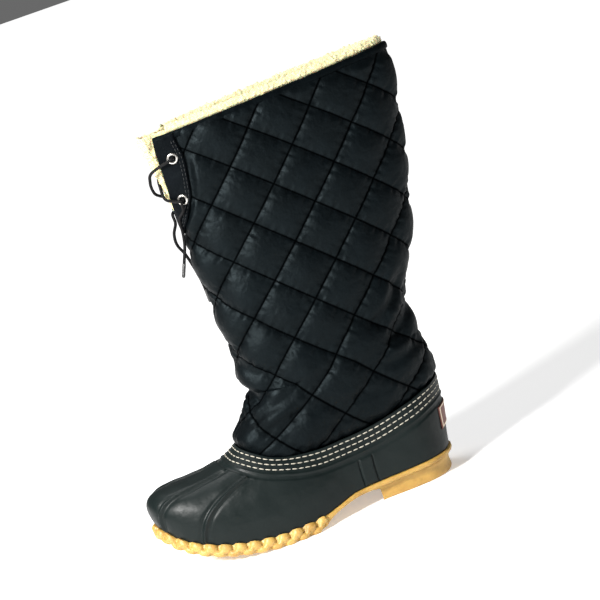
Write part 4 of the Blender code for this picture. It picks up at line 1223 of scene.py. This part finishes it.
def quilting(place, height, seed):
    """Pillows between stitched diagonals, with small puckers across the stitching."""
    across = (place - QUILT_FRONT) / DIAMOND_WIDTH
    up = (height - QUILT_HEIGHT) / DIAMOND_HEIGHT
    first = np.abs(np.sin(pi * (across + up)))
    second = np.abs(np.sin(pi * (across - up)))
    pillow = PUFF * (first * second) ** PILLOW_POWER
    cell = np.hypot(DIAMOND_WIDTH, DIAMOND_HEIGHT) / 2
    pucker = np.zeros_like(pillow)
    long, short = PUCKER_PITCHES
    for line, along in ((first, across - up), (second, across + up)):
        turn = 2 * pi * along * cell
        wave = np.sin(turn / long + 4.0 * seed) + 0.6 * np.sin(turn / short + seed)
        pucker += PUCKER * wave * np.exp(-((line / 0.42) ** 2)) * np.clip(line / 0.08, 0, 1)
    return pillow + pucker


def crease_depth(side, place, height):
    """How far the creases sink the cloth: each is a wavering line with a soft rise beside it."""
    total = np.zeros_like(place)
    for crease in CREASES:
        if crease.side != side:
            continue
        turn = radians(crease.angle)
        dx, dy = place - crease.place, height - crease.height
        along = (dx * cos(turn) + dy * sin(turn)) / (crease.length / 2)
        across = (-dx * sin(turn) + dy * cos(turn)) / crease.width
        across = across + 0.35 * np.sin(along * 2.2 + crease.place * 90)
        window = np.clip(1 - along**2, 0, 1) ** 0.8
        total -= crease.depth * window * np.exp(-(across**2))
        total += 0.55 * crease.depth * window * np.exp(-((across - 1.7) ** 2) / 1.3)
    return total


def shaft_rows(detail):
    """Each side of the shaft's plain surface, and the distance round at every point."""
    share = np.linspace(0, 1, detail.shaft_columns)
    low = np.linspace(0, 1, 34)[:-1]
    high = np.arange(ANKLE_HEIGHT, COLLAR_HEIGHT, detail.shaft_step)
    high = np.append(high, COLLAR_HEIGHT)
    halves, places = [], []
    for side in (-1, 1):
        a = topline_place(side, share)
        base, normals = shell_grid(a, np.array([TUCK, 0.0]), np.zeros(2))
        out = normals[1].copy()
        inner = base - normals * (SHELL_WALL + TUCK_CLEARANCE)
        out[:, 2] = 0
        girth = half_girth(ANKLE_HEIGHT)
        ankle = shaft_ring(side, share * girth, ANKLE_HEIGHT)
        rows, near = [inner[0]], [share * girth]
        for t in low:
            mix = 0.65 * t + 0.35 * t * t * (3 - 2 * t)
            rows.append(inner[1] + (ankle - inner[1]) * mix + out * (SHELL_WALL * 1.6 * sin(pi * t)))
            near.append(share * girth)
        for height in high:
            edge = split_edge(height)
            at = edge + (half_girth(height) - edge) * share
            rows.append(shaft_ring(side, at, height))
            near.append(at)
        halves.append(np.array(rows))
        places.append(np.array(near))
    return halves, places


def make_quilted_shaft(detail):
    halves, places = shaft_rows(detail)
    tail = split_height() - FACING_TAIL
    lifted = []
    for side, rows, place in zip((-1, 1), halves, places):
        level = rows[:, :, 2]
        puff = quilting(place, level, 1.3 + side)
        facing_edge = facing_reach(np.maximum(level, tail))
        under = smoothstep(tail - 0.012, tail, level)
        puff *= 1 - under * (1 - smoothstep(0.002, 0.010, place - facing_edge))
        puff *= smoothstep(0.0, 0.010, COLLAR_HEIGHT - level)
        puff *= smoothstep(-0.3, 1.0, (place[:, -1:] - place) / 0.008)
        row = np.arange(len(rows))[:, None]
        puff *= smoothstep(0, 9, row)
        puff += crease_depth(side, place, level) * detail.crease_share * smoothstep(0, 7, row)
        loose = 1 - smoothstep(ANKLE_HEIGHT + 0.03, ANKLE_HEIGHT + 0.12, level)
        puff += speckle(rows, 0.030, 0.0010 + 0.0010 * loose, 2) * smoothstep(0, 9, row)
        hem = np.sin(2 * pi * place / 0.011 + 3 * np.sin(place * 80)) * 0.0007
        puff += hem * bead(row - 5.0, 4.0)
        puff *= smoothstep(-0.2, 0.6, row / 4)
        lifted.append(puff)
    places[1] = MEDIAL_UV - places[1]
    base, puff, place = (
        np.concatenate([lateral, medial[:, ::-1]], axis=1) for lateral, medial in (halves, lifted, places)
    )
    level = base[:, :, 2]
    normals = sheet_normals(base, SHAFT_MIDDLE)
    closed = level[:, 0] < split_height()
    puff[closed, 0] = puff[closed, -1] = (puff[closed, 0] + puff[closed, -1]) / 2
    normals[closed, 0] = normals[closed, -1] = (-1.0, 0.0, 0.0)
    rows = base + normals * puff[:, :, None]
    uv = np.stack([place, level], axis=2)
    bm = bmesh.new()
    sheet(bm, rows, SHAFT_MIDDLE, uv)
    coarse = slice(None, None, 6)
    inner = (base - normals * SHAFT_WALL)[coarse, coarse]
    made = sheet(bm, inner, SHAFT_MIDDLE, uv[coarse, coarse])
    bmesh.ops.reverse_faces(bm, faces=faces_of(made))
    weld(bm)
    add_piece("quilted_shaft", bm, nylon_cloth(quilted=True), ["quilted_shaft"], sharp=1.6)


def collar_line(places, height, lift):
    halves = [shaft_ring(side, places, height, lift) for side in (-1, 1)]
    return np.concatenate([halves[0], halves[1][-2::-1]])


def make_collar_binding():
    places = np.linspace(split_edge(COLLAR_HEIGHT), half_girth(COLLAR_HEIGHT), 150)
    rows = []
    for lift, up in BINDING_PROFILE:
        row = collar_line(places, COLLAR_HEIGHT, lift)
        row[:, 2] += up
        rows.append(row)
    rows = np.array(rows)
    rows += speckle(rows, 0.012, 0.0004, 2)[:, :, None] * sheet_normals(rows, SHAFT_MIDDLE)
    sheet_piece("collar_binding", rows, SHAFT_MIDDLE, nylon_cloth("Binding"), sharp=1.2)


def facing_rows(side, lift):
    heights = np.linspace(split_height() - FACING_TAIL, COLLAR_HEIGHT - 2 * GAP, 70)
    rows = []
    for height in heights:
        edge = max(split_edge(height), GAP) + GAP
        reach = facing_reach(height)
        share = np.linspace(0, 1, 26)
        inset = np.minimum(share, 1 - share) * (reach - edge)
        crown = lift * (0.55 + 0.45 * smoothstep(0.0, 0.0016, inset))
        rows.append(shaft_ring(side, edge + (reach - edge) * share, height, crown))
    return np.array(rows)


def make_facing(side, name, finish):
    rows = facing_rows(side, FACING_TOP)
    rows += speckle(rows, 0.011, 0.0004, 2)[:, :, None] * sheet_normals(rows, SHAFT_MIDDLE)
    sheet_piece(name, rows, SHAFT_MIDDLE, finish, [name], wall=FACING_THICKNESS, sharp=1.2)


def make_facing_stitches():
    bm = bmesh.new()
    for side in (-1, 1):
        for inset in FACING_SEAMS:
            heights = np.linspace(split_height() - FACING_TAIL + inset * 2.2, COLLAR_HEIGHT - 0.006, 160)
            line = []
            for height in heights:
                place = max(facing_reach(height) - inset, split_edge(height) + 0.001)
                line.append(shaft_ring(side, np.array([place]), height, FACING_TOP)[0])
            line = np.array(line)
            middle = np.array([SHAFT_MIDDLE[0], 0.0, 0.0]) + line * np.array([0.0, 0.0, 1.0])
            add_stitches(bm, line, FACING_PITCH, FACING_STITCH, FACING_THREAD, line - middle)
    add_piece("facing_stitches", bm, plain_finish("Dark Thread", DARK_THREAD, 0.6), sharp=3.0)


def make_eyelets():
    finish = plain_finish("Nickel", NICKEL, 0.24, 2600.0, 0.00004, Metallic=1.0)
    number = 1
    for drop in EYELET_DROPS:
        for side in (-1, 1):
            centre, way = facing_point(side, COLLAR_HEIGHT - drop, EYELET_INSET, FACING_TOP + GAP)
            bm = bmesh.new()
            points = [bm.verts.new((radius, 0, height)) for radius, height in EYELET_PROFILE]
            lines = [bm.edges.new(pair) for pair in zip(points, points[1:])]
            bmesh.ops.spin(
                bm, geom=points + lines, axis=(0, 0, 1), cent=(0, 0, 0), steps=40, angle=2 * pi,
                use_merge=True,
            )
            weld(bm, 1e-6)
            bmesh.ops.recalc_face_normals(bm, faces=bm.faces[:])
            turn = way.to_track_quat("Z", "Y").to_matrix().to_4x4()
            place = Matrix.Translation(centre + Vector(HOME)) @ turn
            bmesh.ops.transform(bm, matrix=place, verts=bm.verts[:])
            add_piece(f"eyelet_{number}", bm, finish, [f"eyelet_{number}"], sharp=1.0)
            number += 1


def curled(rows, inside, depth=CURL_DEPTH, size=CURL_SIZE):
    """The sheet with the curls of fleece on it."""
    lift = lumps(rows, size, depth) + speckle(rows, size * 0.4, depth * 0.22, 2)
    return rows + sheet_normals(rows, inside) * lift[:, :, None]


def make_gusset(finish):
    heights = np.linspace(split_height() - 0.004, COLLAR_HEIGHT + FLEECE_STAND * 0.5, 80)
    rows = []
    for height in heights:
        level = min(height, COLLAR_HEIGHT)
        edge = split_edge(level)
        front = shaft_section(level)[0]
        grow = smoothstep(split_height(), split_height() + 0.02, level)
        forward = -0.004 + 0.0065 * grow
        inner = SHAFT_WALL + GUSSET_CLEARANCE
        key = []
        for side in (-1, 1):
            outer = shaft_ring(side, np.array([edge + GUSSET_OVERLAP, edge + 0.001]), level, -inner)
            near = shaft_ring(side, np.array([edge * 0.72]), level, -0.0005)[0]
            near[0] = min(near[0], front - forward + 0.004)
            key.append([outer[0], outer[1], near] if edge > 0.002 else [outer[0], outer[1]])
        middle = np.array([front - forward, 0.0, key[0][0][2]])
        line = np.array(key[0] + [middle] + key[1][::-1])
        line[:, 2] += height - level
        fine = smooth_route(line, 0.0001)
        rows.append(read_at(np.linspace(0, len(fine) - 1, 64), np.arange(len(fine)), fine))
    rows = curled(np.array(rows), GUSSET_MIDDLE)
    sheet_piece("gusset", rows, GUSSET_MIDDLE, finish, ["gusset"], wall=GUSSET_WALL, sharp=3.0)


def make_fleece_collar(finish):
    inner = SHAFT_WALL + 2 * GAP
    start = split_edge(COLLAR_HEIGHT) + GUSSET_OVERLAP * 0.8
    places = np.linspace(start, half_girth(COLLAR_HEIGHT), 190)
    profile = smooth_route(
        [
            (inner, -0.006, 0),
            (inner - 0.0006, 0.0005, 0),
            (inner - SHAFT_WALL * 0.7, FLEECE_STAND * 0.4, 0),
            (inner + 0.0002, FLEECE_STAND * 0.85, 0),
            (inner + FLEECE_THICKNESS * 0.45, FLEECE_STAND * 1.02, 0),
            (inner + FLEECE_THICKNESS * 0.95, FLEECE_STAND * 0.6, 0),
            (inner + FLEECE_THICKNESS, -0.003, 0),
            (inner + FLEECE_THICKNESS * 0.9, -FLEECE_DEPTH, 0),
        ],
        0.0013,
    )
    rows = []
    for inset, up, _ in profile:
        row = collar_line(places, COLLAR_HEIGHT + min(up, 0.0), -inset)
        row[:, 2] += max(up, 0.0)
        rows.append(row)
    rows = np.array(rows)
    centre = rows.mean(axis=0)
    out = rows - centre
    out /= np.maximum(np.linalg.norm(out, axis=2), 1e-9)[:, :, None]
    lift = lumps(rows, CURL_SIZE, CURL_DEPTH) + speckle(rows, CURL_SIZE * 0.4, CURL_DEPTH * 0.25, 2)
    rows = rows + out * lift[:, :, None]
    sheet_piece("fleece_collar", rows, SHAFT_MIDDLE, finish, ["fleece_collar"], sharp=3.0)


def make_fleece_lining(finish):
    """The fleece down the inside, from the collar to the foot."""
    inner = SHAFT_WALL + GUSSET_CLEARANCE + 0.001
    rows = []
    for height in np.linspace(COLLAR_HEIGHT - 0.012, ANKLE_HEIGHT, 60):
        places = np.linspace(split_edge(height), half_girth(height), 90)
        rows.append(collar_line(places, height, -inner))
    rows = curled(np.array(rows), SHAFT_MIDDLE, -CURL_DEPTH * 0.5, CURL_SIZE * 1.6)
    sheet_piece("fleece_lining", rows, SHAFT_MIDDLE, finish, inward=True, sharp=3.0)


def make_insole(finish):
    a = np.linspace(0, TURN, 181)
    inset = -(SHELL_WALL + 2 * GAP)
    low = sole_rim(a) + 2 * GAP
    rings = [
        edge_ring(a, inset, low),
        edge_ring(a, inset, low + INSOLE_THICKNESS * 0.7),
        edge_ring(a, inset - INSOLE_ROUNDING, low + INSOLE_THICKNESS),
    ]
    bm = bmesh.new()
    sheet(bm, np.array(rings), (0.15, 0.0, 0.02))
    along = np.linspace(0, LAST, 120)
    for lift, above in ((INSOLE_THICKNESS, -1.0), (0.0, 1.0)):
        near = inset - (INSOLE_ROUNDING if lift else 0.0)
        lateral = edge_ring(along, near, sole_rim(along) + 2 * GAP + lift)
        medial = edge_ring(TURN - along, near, sole_rim(along) + 2 * GAP + lift)
        across = np.linspace(0, 1, 24)[None, :, None]
        sheet(bm, lateral[:, None] * (1 - across) + medial[:, None] * across, (0.15, 0.0, above))
    weld(bm)
    add_piece("insole", bm, finish, ["insole"], sharp=0.8)


def crossing_routes():
    """The laced part: each lace end from a top eyelet, across the split and into the lower eyelet."""
    hole, _ = facing_point(-1, COLLAR_HEIGHT - EYELET_DROPS[1], EYELET_INSET, LACE_LIFT)
    routes = []
    for side, loop in ((-1, LOOP_LATERAL), (1, LOOP_MEDIAL)):
        top, top_way = facing_point(side, COLLAR_HEIGHT - EYELET_DROPS[0], EYELET_INSET, LACE_LIFT)
        low, low_way = facing_point(-side, COLLAR_HEIGHT - EYELET_DROPS[1], EYELET_INSET, LACE_LIFT)
        free = [Vector((hole.x - forward, across, hole.z + up)) for forward, across, up in loop]
        routes.append([
            top - top_way * (LACE_LIFT + 0.0006), top + top_way * 0.0012, *free,
            low + low_way * 0.0012, low - low_way * (LACE_LIFT + 0.0006),
        ])
    return routes


def make_lace_crossing(finish):
    bm = bmesh.new()
    for route in crossing_routes():
        add_tube(bm, smooth_route(route, CORD_STEP), CORD_RADIUS, CORD_SIDES)
    add_piece("lace_crossing", bm, finish, ["lace_crossing"], sharp=3.0)


def make_lace_end(name, side, route, finish, aglet_finish):
    front = shaft_section(split_height())[0]
    level = COLLAR_HEIGHT - EYELET_DROPS[1]
    hole, way = facing_point(side, level, EYELET_INSET, FACING_TOP + 0.0022)
    below, _ = facing_point(side, level - EYELET_RADIUS * 2.2, EYELET_INSET, FACING_TOP + 0.003)
    points = [hole - way * 0.0012, hole + way * 0.0022 + Vector((0, 0, -0.0030)), below]
    for forward, across, height in route:
        points.append(Vector((front - forward, across, split_height() + height)))
    path = smooth_route(points, CORD_STEP)
    bm = bmesh.new()
    add_tube(bm, path, CORD_RADIUS, CORD_SIDES)
    obj = add_piece(name, bm, finish, [name], sharp=3.0)
    backwards = path[::-1]
    tip = backwards[run_along(backwards) < AGLET_LENGTH]
    bm = bmesh.new()
    add_tube(bm, tip, LACE_DIAMETER / 2 * 1.02, AGLET_SIDES)
    aglet = add_piece(f"{name}_aglet", bm, aglet_finish, sharp=1.2)
    route = row_frame(path)


class BOOT_OT_camera(bpy.types.Operator):
    """Places the camera as the photograph has it"""
    bl_idname = "boot.camera"
    bl_label = "Camera"

    def execute(self, context):
        frame_camera(context.scene.boot_stage)
        return {"FINISHED"}


class BOOT_OT_lace_ends(bpy.types.Operator):
    """Makes the two loose lace ends"""
    bl_idname = "boot.lace_ends"
    bl_label = "Lace Ends"

    def execute(self, context):
        finish = braided_cord()
        tips = plain_finish("Aglet", AGLET, 0.3, 1500.0, 0.00003, Coat_Weight=0.4)
        make_lace_end("lace_end_long", 1, LACE_END_LONG, finish, tips)
        make_lace_end("lace_end_short", -1, LACE_END_SHORT, finish, tips)
        return {"FINISHED"}


class BOOT_OT_sole(bpy.types.Operator):
    """Makes the gum sole with its chain edge, heel and tread"""
    bl_idname = "boot.sole"
    bl_label = "Sole"

    def execute(self, context):
        make_outsole(context.scene.boot_detail)
        return {"FINISHED"}


class BOOT_OT_shell(bpy.types.Operator):
    """Makes the rubber shell, its stitches and the heel label"""
    bl_idname = "boot.shell"
    bl_label = "Rubber Shell"

    def execute(self, context):
        make_rubber_shell(context.scene.boot_detail)
        make_topline_stitches()
        make_heel_label()
        return {"FINISHED"}


class BOOT_OT_shaft(bpy.types.Operator):
    """Makes the quilted shaft and its binding"""
    bl_idname = "boot.shaft"
    bl_label = "Quilted Shaft"

    def execute(self, context):
        make_quilted_shaft(context.scene.boot_detail)
        make_collar_binding()
        return {"FINISHED"}


class BOOT_OT_facings(bpy.types.Operator):
    """Makes the facings, their stitches and the eyelets"""
    bl_idname = "boot.facings"
    bl_label = "Facings"

    def execute(self, context):
        finish = nylon_cloth("Facing Cloth", FACING_CLOTH)
        make_facing(-1, "facing_lateral", finish)
        make_facing(1, "facing_medial", finish)
        make_facing_stitches()
        make_eyelets()
        make_lace_crossing(bpy.data.materials["Lace"])
        return {"FINISHED"}


class BOOT_OT_fleece(bpy.types.Operator):
    """Makes the fleece collar, lining, gusset and insole"""
    bl_idname = "boot.fleece"
    bl_label = "Fleece"

    def execute(self, context):
        finish = fleece()
        make_gusset(finish)
        make_fleece_collar(finish)
        make_fleece_lining(finish)
        make_insole(finish)
        return {"FINISHED"}


class BOOT_OT_stage(bpy.types.Operator):
    """Sets the floor, the lights and the world"""
    bl_idname = "boot.stage"
    bl_label = "Stage"

    def execute(self, context):
        set_stage()
        return {"FINISHED"}


class BOOT_PT_panel(bpy.types.Panel):
    """The boot's settings and its pieces"""
    bl_idname = "BOOT_PT_panel"
    bl_label = "Duck Boot"
    bl_space_type = "VIEW_3D"
    bl_region_type = "UI"
    bl_category = "Boot"

    def draw(self, context):
        for settings in (context.scene.boot_detail, context.scene.boot_stage):
            for name in settings.__annotations__:
                self.layout.prop(settings, name)
        for operator in OPERATORS:
            self.layout.operator(operator.bl_idname)


OPERATORS = (
    BOOT_OT_camera,
    BOOT_OT_lace_ends,
    BOOT_OT_sole,
    BOOT_OT_shell,
    BOOT_OT_shaft,
    BOOT_OT_facings,
    BOOT_OT_fleece,
    BOOT_OT_stage,
)
CLASSES = (BootDetail, BootStage, *OPERATORS, BOOT_PT_panel)


def register():
    for cls in CLASSES:
        bpy.utils.register_class(cls)
    bpy.types.Scene.boot_detail = bpy.props.PointerProperty(type=BootDetail)
    bpy.types.Scene.boot_stage = bpy.props.PointerProperty(type=BootStage)


def unregister():
    del bpy.types.Scene.boot_stage
    del bpy.types.Scene.boot_detail
    for cls in reversed(CLASSES):
        bpy.utils.unregister_class(cls)


def main():
    register()
    bpy.ops.boot.camera()
    bpy.ops.boot.lace_ends()
    bpy.ops.boot.sole()
    bpy.ops.boot.shell()
    bpy.ops.boot.shaft()
    bpy.ops.boot.facings()
    bpy.ops.boot.fleece()
    bpy.ops.boot.stage()


if __name__ == "__main__":
    main()
